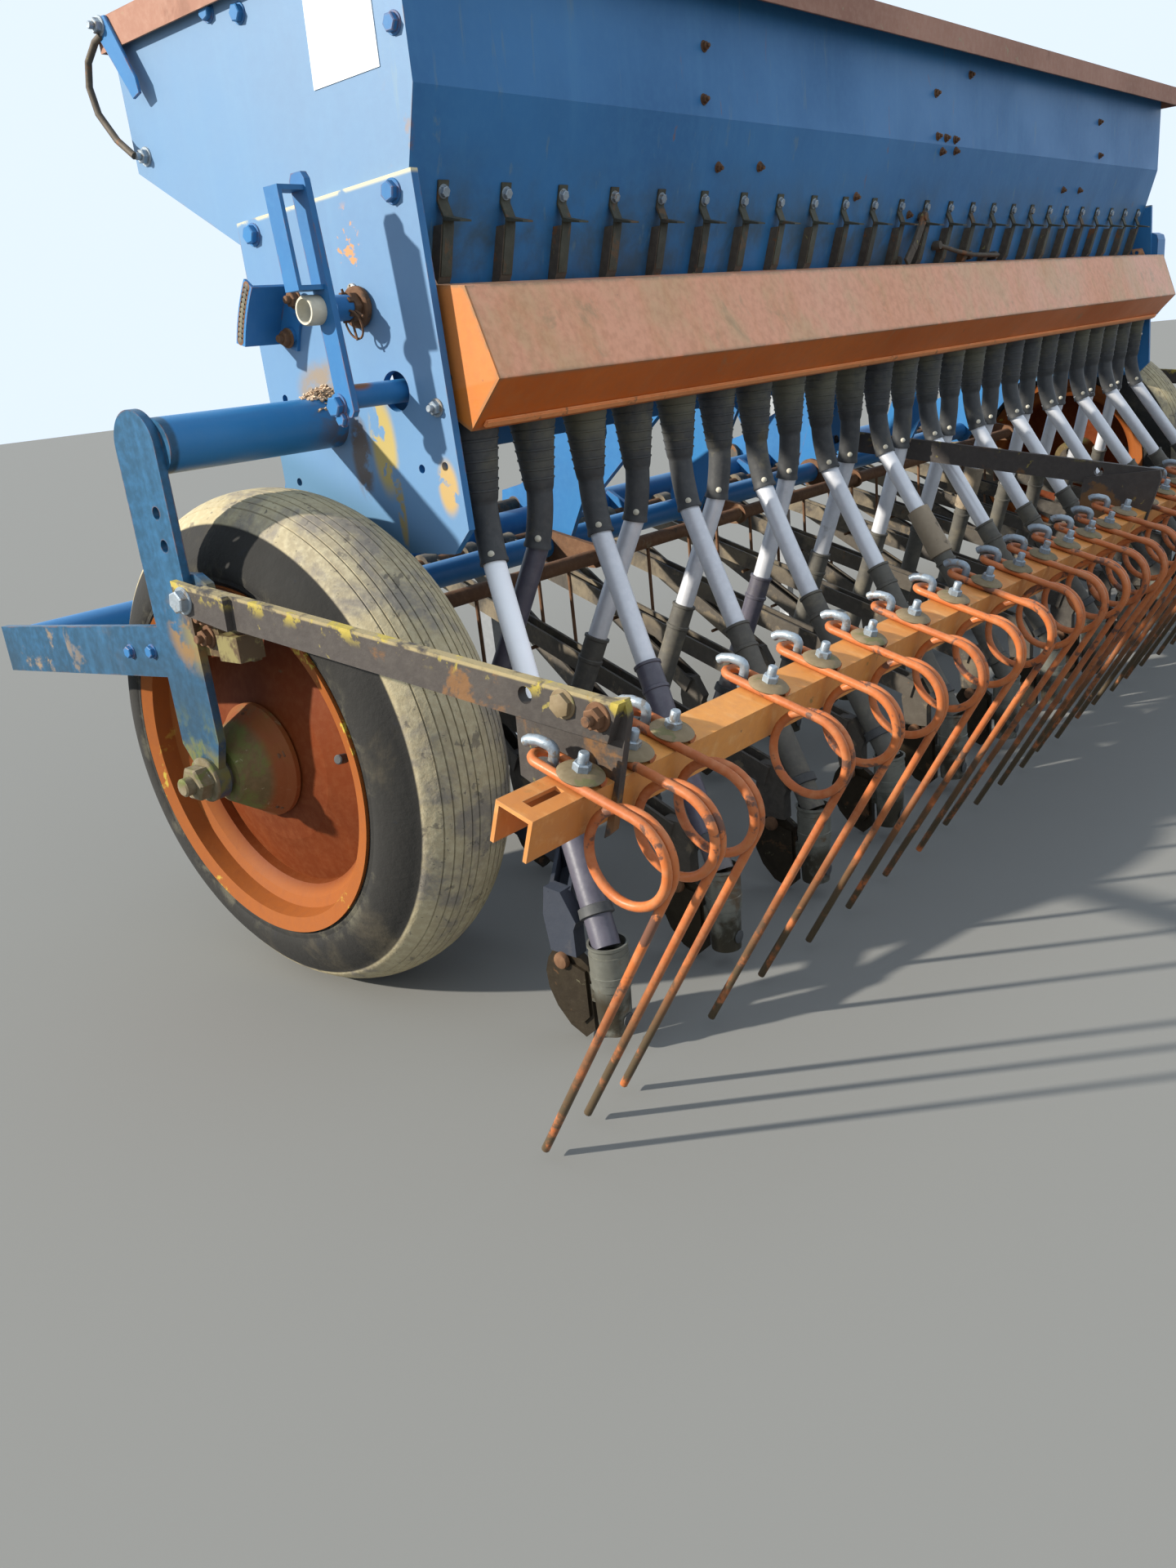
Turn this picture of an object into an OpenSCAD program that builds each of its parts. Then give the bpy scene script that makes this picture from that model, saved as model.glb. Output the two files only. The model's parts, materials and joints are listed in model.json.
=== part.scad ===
// Mounted seed drill: hopper with 25 outlets on a carried frame, two
// transport wheels, trailed coulters in two rows and a following tine
// harrow. X is across the machine, +Y is the direction of travel, Z is up.
// Y is written from the line of shutter bolts and moved by y_shift at the end.

/* [Hopper] */
// half of the hopper's length across the machine
hopper_half = 1250; // [1100:1400]
// sheet thickness of the hopper and covers
sheet = 3; // [2:6]
// height of the hopper's rim
rim_z = 1178; // [1100:1250]
// height of the fold between the upright wall and the slope
fold_z = 1027; // [980:1060]
// height of the trough floor
trough_z = 806; // [780:830]
// rear upright wall
rear_y = -22; // [-60:20]
// front upright wall
front_y = 509; // [450:560]
// rear edge of the trough floor
trough_rear_y = 45; // [20:70]
// front edge of the trough floor
trough_front_y = 126; // [100:160]

/* [Outlets] */
// number of outlets, tubes and coulters
outlets = 25; // [9:2:31]
// spacing of the outlets across the hopper
outlet_pitch = 100; // [90:120]
// width of one shutter strip
shutter_w = 20; // [12:30]
// feed shaft centre, Y
feed_y = 62; // [50:70]
// feed shaft centre, Z
feed_z = 731; // [725:740]
// feed shaft radius
feed_r = 13; // [8:16]
// centre line of funnels
funnel_y = 5; // [-10:30]

/* [Lid] */
// rear edge of the lid
lid_rear_y = -60; // [-90:-30]
// front edge of the lid
lid_front_y = 519; // [516:560]
// half length of the lid
lid_half = 1262; // [1256:1290]
// top of the lid
lid_z = 1200; // [1190:1230]
// depth of the lid's flange
lid_flange = 37; // [25:50]
// lid hinge axis, Y
lid_hinge_y = 535; // [530:560]
// lid hinge axis, Z
lid_hinge_z = 1160; // [1150:1180]

/* [Frame] */
// inner face of a side plate
side_in = 1250; // [1240:1300]
// side plate thickness
side_t = 10; // [6:14]
// main beam size
beam = 80; // [60:100]
// main beam rear face
beam_y = 205; // [180:240]
// main beam underside
beam_z = 640; // [630:650]
// front cross tube centre, Y
front_bar_y = 630; // [600:680]
// front cross tube centre, Z
front_bar_z = 445; // [420:480]
// front cross tube radius
front_bar_r = 30; // [24:36]

/* [Wheels] */
// axle centre, Y
axle_y = 205; // [180:230]
// tyre radius, also the height of the axle over the ground
tyre_r = 317; // [310:325]
// half width of the tyre
tyre_half = 92; // [88:94]
// centre plane of a wheel
wheel_x = 1370; // [1366:1376]
// rim flange radius
rim_r = 221; // [216:224]
// stub axle radius
axle_r = 20; // [15:25]
// inner face of the wheel arm
arm_in = 1503; // [1500:1510]
// wheel arm thickness
arm_t = 10; // [8:12]
// carrier tube centre, Y
carrier_y = 185; // [170:200]
// carrier tube centre, Z
carrier_z = 703; // [690:720]
// carrier tube radius
carrier_r = 30; // [25:35]

/* [Coulters] */
// spacing of the coulters across the machine
coulter_pitch = 112; // [100:120]
// distance from the rear row to the front row
row_gap = 371; // [300:380]
// height of the share tips in the drawings, where the ground is at 6
tip_z = 10; // [8:16]
// rear row share tip, Y
tip_y = -197; // [-205:-185]
// hinge bar centre, Y
hinge_y = 572; // [568:576]
// hinge bar centre, Z
hinge_z = 425; // [422:428]
// hinge bar radius
hinge_r = 12.5; // [10:15]
// outer radius of a drawbar's eye on the hinge bar
eye_r = 21; // [18:24]
// rocking tube that lifts the coulters, Y
lift_y = 400; // [390:410]
// rocking tube that lifts the coulters, Z
lift_z = 441; // [435:450]
// rocking tube radius
lift_r = 21; // [18:24]
// lifting bar carried by the cranks, Y
bar_y = 290; // [280:300]
// lifting bar carried by the cranks, Z
bar_top_z = 424; // [418:430]

/* [Harrow] */
// harrow pivot, Y
harrow_y = 155; // [150:160]
// harrow pivot, Z
harrow_z = 542; // [535:550]
// tine bar centre, Y
tine_bar_y = -395; // [-400:-390]
// tine bar centre, Z
tine_bar_z = 400.6; // [398:403]
// slope of the tine bar's top face
bar_tilt = 18.6; // [15:22]
// tine bar size
bar_s = 40; // [36:44]
// half length of the tine bar
bar_half = 1610; // [1550:1650]
// tine wire radius
wire_r = 4.5; // [3.5:6]
// radius of a tine's coil to the wire's centre
coil_r = 42; // [35:50]
// height of the tine tips in the drawings, where the ground is at 6
tine_tip_z = 14; // [12:30]
// how far the left part of the tine bar sags at its inner end
left_sag = 17; // [0:20]
// how far the right part of the tine bar sags at its inner end
right_sag = 10; // [0:20]

/* [Hidden] */
y_shift = -125.25;
// height of the ground in the drawings
ground_z = 6;
fit = 0.05;
mid = (outlets - 1) / 2;
axle_z = tyre_r + ground_z;
top_link_y = 680;
top_link_z = 1076;
top_link_r = 12.75;
low_pin_y = 716;
low_pin_z = 470;
low_pin_r = 14;
low_shoulder_r = 17;
hitch_x = 400;
stand_x = 560;
stand_y = 675;
cover_half = 1241;
cover_y = 14;
cover_z = 842;
lid_hinges = [-1150, 0, 1150];
hanger_xs = [-1050, -650, -250, 250, 650, 1050];
crank_xs = [-1100, -670, -230, 240, 680, 1110];
centre_arm_x = -62;
// turn of the centre arm about the harrow's pivot, as it has settled
centre_droop = 1.45;
// where the two parts of the tine bar meet
bar_joint_x = -203;
// the ends of both parts stand a little high
end_rise = 3;
harrow_arm_x = 1513;
arm_bar_t = 10;
outer_tines = [1408, 1468, 1535];
left_tines = [-1245, -1140, -1035, -925, -812, -710, -605, -510, -415, -322, -232];
right_tines = [-152, -35, 61, 158, 254, 351, 447, 543, 640, 736, 832, 929, 1025, 1121, 1218];
// coil centre of a tine, and the two angles where its wire leaves the circle
coil_y = -455;
coil_z = 363;
coil_start = 108.6;
coil_end = 209;

// prism along X from a Y-Z outline
module xprism(pts, x0, x1)
  translate([x0, 0, 0]) rotate([90, 0, 90]) linear_extrude(x1 - x0) polygon(pts);

// cylinder along X
module xcyl(y, z, r, x0, x1)
  translate([x0, y, z]) rotate([0, 90, 0]) cylinder(r = r, h = x1 - x0, $fn = 48);

// aims +Z of its children from a to b
module aim(a, b) {
  d = b - a;
  translate(a)
    rotate([0, acos(d[2] / norm(d)), atan2(d[1], d[0])]) children();
}

// round rod between two points
module rod(a, b, r)
  aim(a, b) cylinder(r = r, h = norm(b - a), $fn = 32);

// rectangular bar between two points: w across the machine, h upright
module flat(a, b, w, h) {
  d = b - a;
  translate(a)
    rotate([0, 0, atan2(d[1], d[0])])
      rotate([0, -atan2(d[2], norm([d[0], d[1]])), 0])
        translate([0, -w / 2, -h / 2]) cube([norm(d), w, h]);
}

// outline of a ring's sector in the Y-Z plane
function sector(cy, cz, r0, r1, a0, a1, n = 10) = concat(
  [for (k = [0:n]) let (a = a0 + (a1 - a0) * k / n) [cy + r1 * cos(a), cz + r1 * sin(a)]],
  [for (k = [0:n]) let (a = a1 + (a0 - a1) * k / n) [cy + r0 * cos(a), cz + r0 * sin(a)]]);

function outlet_x(i) = (i - mid) * outlet_pitch;
function coulter_x(i) = (i - mid) * coulter_pitch;
function row_y(i) = i % 2 == 0 ? 0 : row_gap;
// depth of the rear wall at a height on its slope
function wall_y(z) = rear_y + (fold_z - z) * (trough_rear_y - rear_y) / (fold_z - trough_z);
// top edge of a harrow arm
function arm_top(y) = 562 - (190 - y) * 0.119;

module both() { children(); mirror([1, 0, 0]) children(); }

/* hopper */
module hopper() color("steelblue") {
  outer = [[rear_y, rim_z], [rear_y, fold_z], [trough_rear_y, trough_z],
           [trough_front_y, trough_z], [front_y, 1026], [front_y, rim_z]];
  inner = [[rear_y + sheet, rim_z + 5], [rear_y + sheet, fold_z + 0.5],
           [trough_rear_y + sheet * 0.8, trough_z + sheet],
           [trough_front_y - sheet * 0.3, trough_z + sheet],
           [front_y - sheet, 1026 + sheet * 0.6], [front_y - sheet, rim_z + 5]];
  difference() {
    xprism(outer, -hopper_half, hopper_half);
    xprism(inner, -hopper_half + sheet, hopper_half - sheet);
  }
  // hinge ears on the front wall
  for (x = lid_hinges, s = [-1, 1])
    xprism([[front_y, 1100], [front_y, 1148], [524, 1150], [528, 1168], [542, 1168],
            [544, 1152], [526, 1100]], x + s * 28 - 3, x + s * 28 + 3);
  for (x = lid_hinges) xcyl(lid_hinge_y, lid_hinge_z, 5, x - 34, x + 34);
}

module hopper_divider() color("steelblue")
  difference() {
    xprism([[-12, 1120], [-12, 1031], [52, 816], [122, 816], [498, 1033], [498, 1120]], -2, 2);
    xcyl(92, 850, 14, -5, 5);
  }

module agitator_shaft() color("gray") {
  xcyl(92, 850, 10, -hopper_half + sheet, hopper_half - sheet);
  for (i = [0:outlets - 1])
    translate([outlet_x(i) + 20, 92, 850]) rotate([i * 60 + 20, 0, 0])
      translate([0, 0, -28]) cylinder(r = 4, h = 56, $fn = 24);
}

/* frame */
module side_plate() color("cornflowerblue")
  difference() {
    xprism([[-12, 950], [305, 939], [302, 552], [296, 546], [2, 546], [-27, 574]],
           side_in, side_in + side_t);
    xcyl(feed_y, feed_z, 22.5, side_in - 5, side_in + side_t + 5);
    for (p = [[37, 644], [-2, 646], [271, 734], [272, 632]])
      xcyl(p[0], p[1], 5, side_in - 5, side_in + side_t + 5);
  }
module side_plate_right() side_plate();
module side_plate_left() mirror([1, 0, 0]) side_plate();

module main_beam() color("steelblue")
  difference() {
    translate([-side_in, beam_y, beam_z]) cube([side_in * 2, beam, beam]);
    translate([-side_in - 5, beam_y + 6, beam_z + 6]) cube([side_in * 2 + 10, beam - 12, beam - 12]);
  }

module front_cross_tube() color("steelblue")
  xcyl(front_bar_y, front_bar_z, front_bar_r, -arm_in, arm_in);

module side_members() color("steelblue")
  both() difference() {
    xprism([[300, 665], [240, 665], [240, 590], [300, 556], [376, 470], [382, 412], [420, 406],
            [668, 405], [668, 470], [620, 500], [440, 540], [330, 600]],
           side_in - 12, side_in);
    xcyl(front_bar_y, front_bar_z, front_bar_r + fit, side_in - 20, side_in + 10);
    translate([side_in - 20, beam_y, beam_z]) cube([30, beam, beam]);
  }

module headstock() color("steelblue") {
  // top link ears running back to the main beam
  both() difference() {
    xprism([[beam_y + beam, beam_z], [beam_y + beam, beam_z + beam], [590, 1010], [622, 1100],
            [700, 1106], [712, 1060], [672, 1030], [640, 960], [330, beam_z]], 28, 40);
    xcyl(top_link_y, top_link_z, top_link_r, 20, 50);
  }
  // lower hitch plates
  both() difference() {
    xprism([[beam_y + beam, beam_z], [beam_y + beam, beam_z + beam], [560, 575], [690, 512],
            [744, 500], [752, 452], [700, 400], [600, 398], [330, 628]], hitch_x, hitch_x + 14);
    xcyl(front_bar_y, front_bar_z, front_bar_r + fit, hitch_x - 5, hitch_x + 20);
    xcyl(low_pin_y, low_pin_z, low_shoulder_r + 0.02, hitch_x - 5, hitch_x + 20);
    // notch round the eye of the drawbar that hinges beside the plate
    xcyl(hinge_y, hinge_z, eye_r + 3, hitch_x - 5, hitch_x + 20);
  }
  // slanted legs
  both() rod([36, 648, 1040], [hitch_x + 6, 650, 520], 22);
}

module lower_link_pins() color("silver")
  both() {
    xcyl(low_pin_y, low_pin_z, low_pin_r, hitch_x, hitch_x + 110);
    xcyl(low_pin_y, low_pin_z, low_shoulder_r, hitch_x - 14, hitch_x + 14);
    xcyl(low_pin_y, low_pin_z, 24, hitch_x - 14, hitch_x);
  }

module wheel_carrier() color("steelblue") {
  xcyl(carrier_y, carrier_z, carrier_r, side_in + side_t, arm_in);
  difference() {
    union() {
      // upright bar with a round top and a cut-off foot
      xprism([[169, 704], [248, 704], [248, 361], [225, 329], [205, 323], [183, 334], [169, 372]],
             arm_in, arm_in + arm_t);
      xcyl(208.5, 704, 39.5, arm_in, arm_in + arm_t);
      // bar running forward to the front cross tube
      xprism([[240, 505], [660, 477], [660, 415], [240, 444]], arm_in, arm_in + arm_t);
      xcyl(axle_y, axle_z, 27, arm_in - 2, arm_in + arm_t + 4);
    }
    xcyl(axle_y, axle_z, axle_r + 0.02, arm_in - 5, arm_in + arm_t + 5);
    xcyl(194, 634, 7, arm_in - 5, arm_in + arm_t + 5);
    xcyl(192, 598, 7, arm_in - 5, arm_in + arm_t + 5);
  }
  // lug behind the bar with the harrow's pivot pin and its stop
  xprism([[200, 566], [160, 566], [141, 556], [137, 535], [137, 484], [78, 484], [78, 474], [200, 474]],
         arm_in - 10, arm_in);
  translate([arm_in - 10, 70, 478]) cube([32, 38, 28.5]);
  xcyl(harrow_y, harrow_z, 8, arm_in - 10, harrow_arm_x + 17);
  xcyl(harrow_y, harrow_z, 13.5, arm_in - 10, harrow_arm_x + arm_bar_t / 2 - 1);
}
module wheel_carrier_right() wheel_carrier();
module wheel_carrier_left() mirror([1, 0, 0]) wheel_carrier();

module stub_axles() color("dimgray")
  both() {
    xcyl(axle_y, axle_z, axle_r, 1362, arm_in + arm_t + 6);
    xcyl(axle_y, axle_z, axle_r + 8, 1354, 1362);
    xcyl(axle_y, axle_z, 13, arm_in + arm_t + 5, arm_in + arm_t + 18);
  }

/* seed path */
module shutters() color("dimgray")
  for (i = [0:outlets - 1])
    translate([outlet_x(i), 0, 0])
      xprism([[wall_y(942), 942], [-1, 942], [-1, 926], [4, 906], [-12, 904], [-12, 901],
              [wall_y(898) - 5, 898], [wall_y(818) - 5, 818], [wall_y(820), 820]],
             -shutter_w / 2, shutter_w / 2);

module seed_housings() color("steelblue")
  for (i = [0:outlets - 1])
    translate([outlet_x(i), 0, 0])
      difference() {
        union() {
          xprism([[-34, 800], [-28, 806], [110, 806], [96, 738], [74, 704], [-28, 704], [-36, 730]],
                 -30, 30);
          translate([0, funnel_y, 676]) cylinder(r = 14, h = 30, $fn = 32);
        }
        xcyl(feed_y, feed_z, feed_r + fit, -40, 40);
      }

module feed_shaft() color("dimgray")
  xcyl(feed_y, feed_z, feed_r, -1331, side_in + side_t + 60);

// rubber funnel with a straight collar and a ringed neck
module seed_funnels() color("dimgray")
  for (i = [0:outlets - 1])
    translate([outlet_x(i), funnel_y, 0]) rotate_extrude($fn = 48)
      polygon([[25.5, 690], [29, 690], [28.5, 672], [17.5, 602], [17.5, 596], [16.2, 595], [16.2, 585],
               [17.5, 584], [17.5, 580], [16.2, 579], [16.2, 562], [13.4, 562], [13.4, 603], [24.5, 672]]);

// a seed tube's line: from its bend under the funnel to the mouth of its boot
function tube_top(i) = [outlet_x(i), funnel_y, 550];
function tube_low(i) = [coulter_x(i), tip_y - 44 + row_y(i), 150];
function along(a, b, t) = a + (b - a) * t;

module upper_seed_tubes() color("lightgray")
  for (i = [0:outlets - 1]) {
    translate(tube_top(i)) sphere(r = 14.5, $fn = 32);
    rod(tube_top(i), along(tube_top(i), tube_low(i), 0.45), 14);
  }

module lower_seed_tubes() color("dimgray")
  for (i = [0:outlets - 1])
    rod(along(tube_top(i), tube_low(i), 0.45), along(tube_top(i), tube_low(i), 1.02), 16.8);

/* coulters */
module coulter_hinge_bar() color("saddlebrown")
  xcyl(hinge_y, hinge_z, hinge_r, -side_in + 12, side_in - 12);

module lift_tube() color("steelblue")
  xcyl(lift_y, lift_z, lift_r, -side_in + 12, side_in - 12);

// plates that hang the rocking tube from the beam and the hinge bar from the front tube
module bar_hangers() color("steelblue")
  for (x = hanger_xs) {
    difference() {
      xprism([[beam_y + beam, 705], [beam_y + beam, beam_z], [262, beam_z], [262, 622], [368, 430],
              [380, 412], [420, 412], [432, 430], [432, 470], [344, 705]], x - 5, x + 5);
      xcyl(lift_y, lift_z, lift_r + fit, x - 10, x + 10);
    }
    difference() {
      xprism([[552, 412], [552, 438], [566, 450], [604, 474], [640, 440], [628, 408], [592, 402], [566, 402]],
             x + 7, x + 17);
      xcyl(hinge_y, hinge_z, hinge_r + fit, x, x + 20);
      xcyl(front_bar_y, front_bar_z, front_bar_r + fit, x, x + 20);
    }
  }

// end of a drawbar over its coulter
function draw_end(i) = [coulter_x(i), tip_y + 14 + row_y(i), tip_z + 168];
function is_outer(i) = i == 0 || i == outlets - 1;
// the outer drawbars bend round the wheels, the others run straight
function draw_knee(i) = is_outer(i) ? [sign(outlet_x(i)) * 1267, -132, 196] : draw_end(i);
function draw_pivot(i) = [outlet_x(i), hinge_y, hinge_z];
function draw_at(i, y) = along(draw_pivot(i), draw_knee(i), (hinge_y - y) / (hinge_y - draw_knee(i)[1]));

// rolled section, open on top
module channel(a, b, w, h)
  difference() {
    flat(a, b, w, h);
    translate([0, 0, 5]) flat(along(a, b, -0.1), along(a, b, 1.1), w - 9, h);
  }

module drawbars() color("darkslategray")
  for (i = [0:outlets - 1])
    difference() {
      union() {
        channel(draw_pivot(i), along(draw_pivot(i), draw_knee(i), is_outer(i) ? 1.01 : 1), 26, 29);
        if (is_outer(i)) channel(along(draw_knee(i), draw_end(i), -0.08), draw_end(i), 26, 29);
        xcyl(hinge_y, hinge_z, eye_r, outlet_x(i) - 15, outlet_x(i) + 15);
        // foot that carries the share, its rear edge in front of the seed tube
        translate([coulter_x(i), row_y(i), tip_z])
          xprism([[tip_y - 13, 150], [tip_y + 6, 184], [tip_y + 30, 186], [tip_y + 36, 150],
                  [tip_y + 30, 106], [tip_y - 8, 106], [tip_y - 8, 140]], -9, 9);
      }
      xcyl(hinge_y, hinge_z, hinge_r + fit, outlet_x(i) - 60, outlet_x(i) + 60);
    }

// share drawn from its tip up: a blade with a hollow leading edge and a wing on each side
module coulter_shares() color("saddlebrown")
  for (i = [0:outlets - 1])
    translate([coulter_x(i), row_y(i), tip_z]) {
      xprism([[tip_y - 6, 0], [tip_y - 21, 14], [tip_y - 21, 96], [tip_y - 8, 106], [tip_y + 30, 106],
              [tip_y + 40, 92], [tip_y + 46, 74], [tip_y + 44, 52], [tip_y + 34, 30], [tip_y + 16, 10]],
             -5, 5);
      both() xprism([[tip_y - 6, 20], [tip_y - 18, 32], [tip_y - 18, 90], [tip_y + 24, 101],
                     [tip_y + 34, 74], [tip_y + 26, 44]], 5, 9);
    }

// boot: a zinc tube with a band, a rolled mouth and a tab on the share
function boot_back(i) = row_y(i) > 0 ? 0 : 5;
module coulter_boots() color("silver")
  for (i = [0:outlets - 1])
    translate([coulter_x(i), tip_y - 44 + row_y(i) - boot_back(i), 32]) {
      rotate_extrude($fn = 48)
        polygon([[17, 0], [19, 0], [21, 56], [22.5, 57], [22.5, 66], [21.4, 67], [22, 106],
                 [23.5, 108], [23.5, 111], [20.8, 111], [19.4, 56]]);
      translate([-5, 18.8, 30]) cube([10, 4.2 + boot_back(i), 22]);
    }

// lifting bar on its cranks, and a thin hooked rod down to each drawbar
module lift_gear() color("saddlebrown") {
  xcyl(bar_y, bar_top_z, hinge_r, -side_in + 25, side_in - 25);
  for (x = crank_xs)
    difference() {
      union() {
        xprism([[lift_y - 4, lift_z + 28], [lift_y + 8, lift_z - 28], [bar_y + 4, bar_top_z - 19],
                [bar_y - 4, bar_top_z + 19]], x - 5, x + 5);
        xcyl(lift_y, lift_z, 29, x - 5, x + 5);
        xcyl(bar_y, bar_top_z, 19, x - 5, x + 5);
      }
      xcyl(lift_y, lift_z, lift_r + fit, x - 10, x + 10);
    }
  for (i = [0:outlets - 1]) {
    under = draw_at(i, bar_y)[2] - (row_y(i) > 0 ? 27 : 23);
    beside = draw_at(i, bar_y)[0] + (i < 20 ? 18 : -18);
    translate([beside, bar_y, under])
      cylinder(r = 3, h = bar_top_z - hinge_r - 0.3 - under, $fn = 16);
    translate([draw_at(i, bar_y)[0], 0, 0]) xcyl(bar_y, under, 3, -18, 18);
  }
}

module harrow_hanger() color("steelblue")
  for (s = [-1, 1])
    difference() {
      xprism([[beam_y, 715], [beam_y, beam_z], [177, 522], [137, 520], [133, 556], [172, 715]],
             centre_arm_x + s * 16 - 4, centre_arm_x + s * 16 + 4);
      xcyl(harrow_y, harrow_z, 8.02, centre_arm_x - 40, centre_arm_x + 40);
    }

/* small fittings */
// curved index band for the lever, with a foot on the side plate and a rim outside
module quadrant_plate() color("steelblue") {
  face = -side_in - side_t;
  xprism(sector(feed_y, feed_z, 205, 209, 19, 39), face - 51, face);
  xprism(sector(feed_y, feed_z, 205, 222, 19, 39), face - 55, face - 51);
  xprism(sector(feed_y, feed_z, 172, 207, 19, 39), face - 4, face);
  for (a = [35, 24]) xcyl(feed_y + 183 * cos(a), feed_z + 183 * sin(a), 8, face - 9, face - 3);
}

// flat lever clamped on the feed shaft, with a bent hand grip outside it
module control_lever() color("steelblue") {
  xprism([[45, 716], [50, 710], [66, 710], [71, 716], [90.5, 950], [86, 957], [70, 957], [65.5, 950]],
         -1339, -1331);
  for (z = [939, 842]) xprism([[61 + (z - 842) / 14, z], [84 + (z - 842) / 14, z],
                               [84 + (z - 842) / 14, z + 5], [61 + (z - 842) / 14, z + 5]], -1373, -1339);
  xprism([[61, 842], [84, 842], [91.3, 944], [68.3, 944]], -1373, -1368);
  xcyl(101, 825, 14, -1304, -side_in - side_t);
}

module drive_case() color("steelblue")
  difference() {
    xprism([[-22, 690], [-30, 700], [-30, 868], [-26, 880], [-14, 886], [112, 886], [126, 880],
            [134, 866], [134, 700], [112, 672], [6, 672]], side_in + side_t, side_in + side_t + 60);
    xcyl(feed_y, feed_z, feed_r + fit, side_in, side_in + 100);
  }

module stand_sleeves() color("steelblue")
  both() difference() {
    translate([stand_x - 20, stand_y - 20, 372]) cube([40, 40, 150]);
    translate([stand_x - 14.5, stand_y - 14.5, 360]) cube([29, 29, 200]);
    xcyl(front_bar_y, front_bar_z, front_bar_r + fit, stand_x - 40, stand_x + 40);
  }

module parking_leg() color("gray") {
  translate([stand_x - 14, stand_y - 14, ground_z]) cube([28, 28, 634]);
  translate([stand_x - 45, stand_y - 40, ground_z]) cube([90, 80, 6]);
}
module parking_leg_right() parking_leg();
module parking_leg_left() mirror([1, 0, 0]) parking_leg();

/* wheels */
// half outlines of the tyre and the rim: radius and distance from the wheel's centre plane
tyre_side = [[204, 66], [207, 83], [222.5, 87.5], [225, 91], [240, tyre_half], [258, 88], [274, 79],
             [286, 69], [300, 58], [310, 41], [315, 20]];
rim_side = [[rim_r, 88], [206, 84], [203, 64], [190, 58], [178, 46], [176, 20]];
rim_hollow = [[rim_r, 93], [203, 88], [199, 66], [187, 61.5], [173.5, 49], [171.5, 20]];
function both_sides(h) = concat(h, [for (k = [len(h) - 1:-1:0]) [h[k][0], -h[k][1]]]);
tyre_outline = concat(tyre_side, [[tyre_r, 0]], [for (k = [len(tyre_side) - 1:-1:0])
                                                  [tyre_side[k][0], -tyre_side[k][1]]]);
rim_steps = both_sides(rim_side);
rim_back = both_sides(rim_hollow);
module tyre() color("dimgray")
  translate([wheel_x, axle_y, axle_z]) rotate([0, 90, 0]) rotate_extrude($fn = 96)
    polygon(tyre_outline);
module tyre_right() tyre();
module tyre_left() mirror([1, 0, 0]) tyre();

// stepped barrel and a dished disc welded inside its well
module rim() color("orangered")
  translate([wheel_x, axle_y, axle_z]) rotate([0, 90, 0]) rotate_extrude($fn = 96) {
    polygon(concat(rim_steps, [for (k = [len(rim_back) - 1:-1:0]) rim_back[k]]));
    polygon([[50.5, 60], [66, 58], [110, 50], [150, 38], [173, 30], [173, 36], [150, 43.5],
             [110, 56], [66, 64], [50.5, 66]]);
  }
module rim_right() rim();
module rim_left() mirror([1, 0, 0]) rim();

module hub() color("orangered")
  translate([0, axle_y, axle_z]) rotate([0, 90, 0]) rotate_extrude($fn = 64)
    polygon([[axle_r + fit, 1366], [46, 1366], [50, 1432], [50, 1436], [72, 1436], [72, 1442],
             [65, 1450], [37, 1491], [33, 1494], [axle_r + fit, 1494]]);
module hub_right() hub();
module hub_left() mirror([1, 0, 0]) hub();

/* lid and cover */
module lid() color("rosybrown")
  difference() {
    union() {
      difference() {
        translate([-lid_half, lid_rear_y, lid_z - lid_flange])
          cube([lid_half * 2, lid_front_y - lid_rear_y, lid_flange]);
        translate([-lid_half + sheet, lid_rear_y + sheet, lid_z - lid_flange - 5])
          cube([(lid_half - sheet) * 2, lid_front_y - lid_rear_y - sheet * 2, lid_flange + 5 - sheet]);
      }
      for (x = lid_hinges) {
        translate([x - 18, lid_front_y, lid_hinge_z - 5]) cube([36, 16, 14]);
        xcyl(lid_hinge_y, lid_hinge_z, 9, x - 18, x + 18);
      }
    }
    for (x = lid_hinges) xcyl(lid_hinge_y, lid_hinge_z, 5 + fit, x - 30, x + 30);
  }

module rear_cover() color("darkorange") {
  xprism([[20, 839], [-50, 831], [-85, 734], [-32, 681], [-30, 683.2], [-81.4, 734.7],
          [-47.8, 828.2], [20.4, 836]], -cover_half, cover_half);
  both() difference() {
    xprism([[26, 852], [2, 852], [-6, 836], [-50, 831], [-85, 734], [-32, 681], [18, 712], [2, 762], [22, 836]],
           cover_half - 4, cover_half);
    xcyl(cover_y, cover_z, 5 + fit, cover_half - 10, cover_half + 10);
  }
}

/* harrow */
module harrow_arm_at(x, front)
  difference() {
    union() {
      xprism([[front, arm_top(front)], [front, arm_top(front) - 37],
              [-425, arm_top(-425) - 37], [-441, arm_top(-441)]], x - arm_bar_t / 2, x + arm_bar_t / 2);
      if (x == centre_arm_x) xcyl(harrow_y, harrow_z, 18, x - arm_bar_t / 2, x + arm_bar_t / 2);
      else {
        // cheek bolted outside the arm's front end
        s = sign(x);
        translate([s > 0 ? x + arm_bar_t / 2 : x - arm_bar_t / 2 - 8, 0, 0])
          xprism([[174, 563], [172, 528], [82, 512], [80, 549]], 0, 8);
      }
    }
    xcyl(harrow_y, harrow_z, 8 + fit, x - 20, x + 20);
    xcyl(-338, 484, 8, x - 20, x + 20);
  }
// the centre arm has settled a little lower than the outer ones
module settled()
  translate([0, harrow_y, harrow_z]) rotate([centre_droop, 0, 0]) translate([0, -harrow_y, -harrow_z]) children();
module harrow_arms() color("dimgray") {
  harrow_arm_at(-harrow_arm_x, 136);
  settled() harrow_arm_at(centre_arm_x, harrow_y);
  harrow_arm_at(harrow_arm_x, 136);
}

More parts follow.
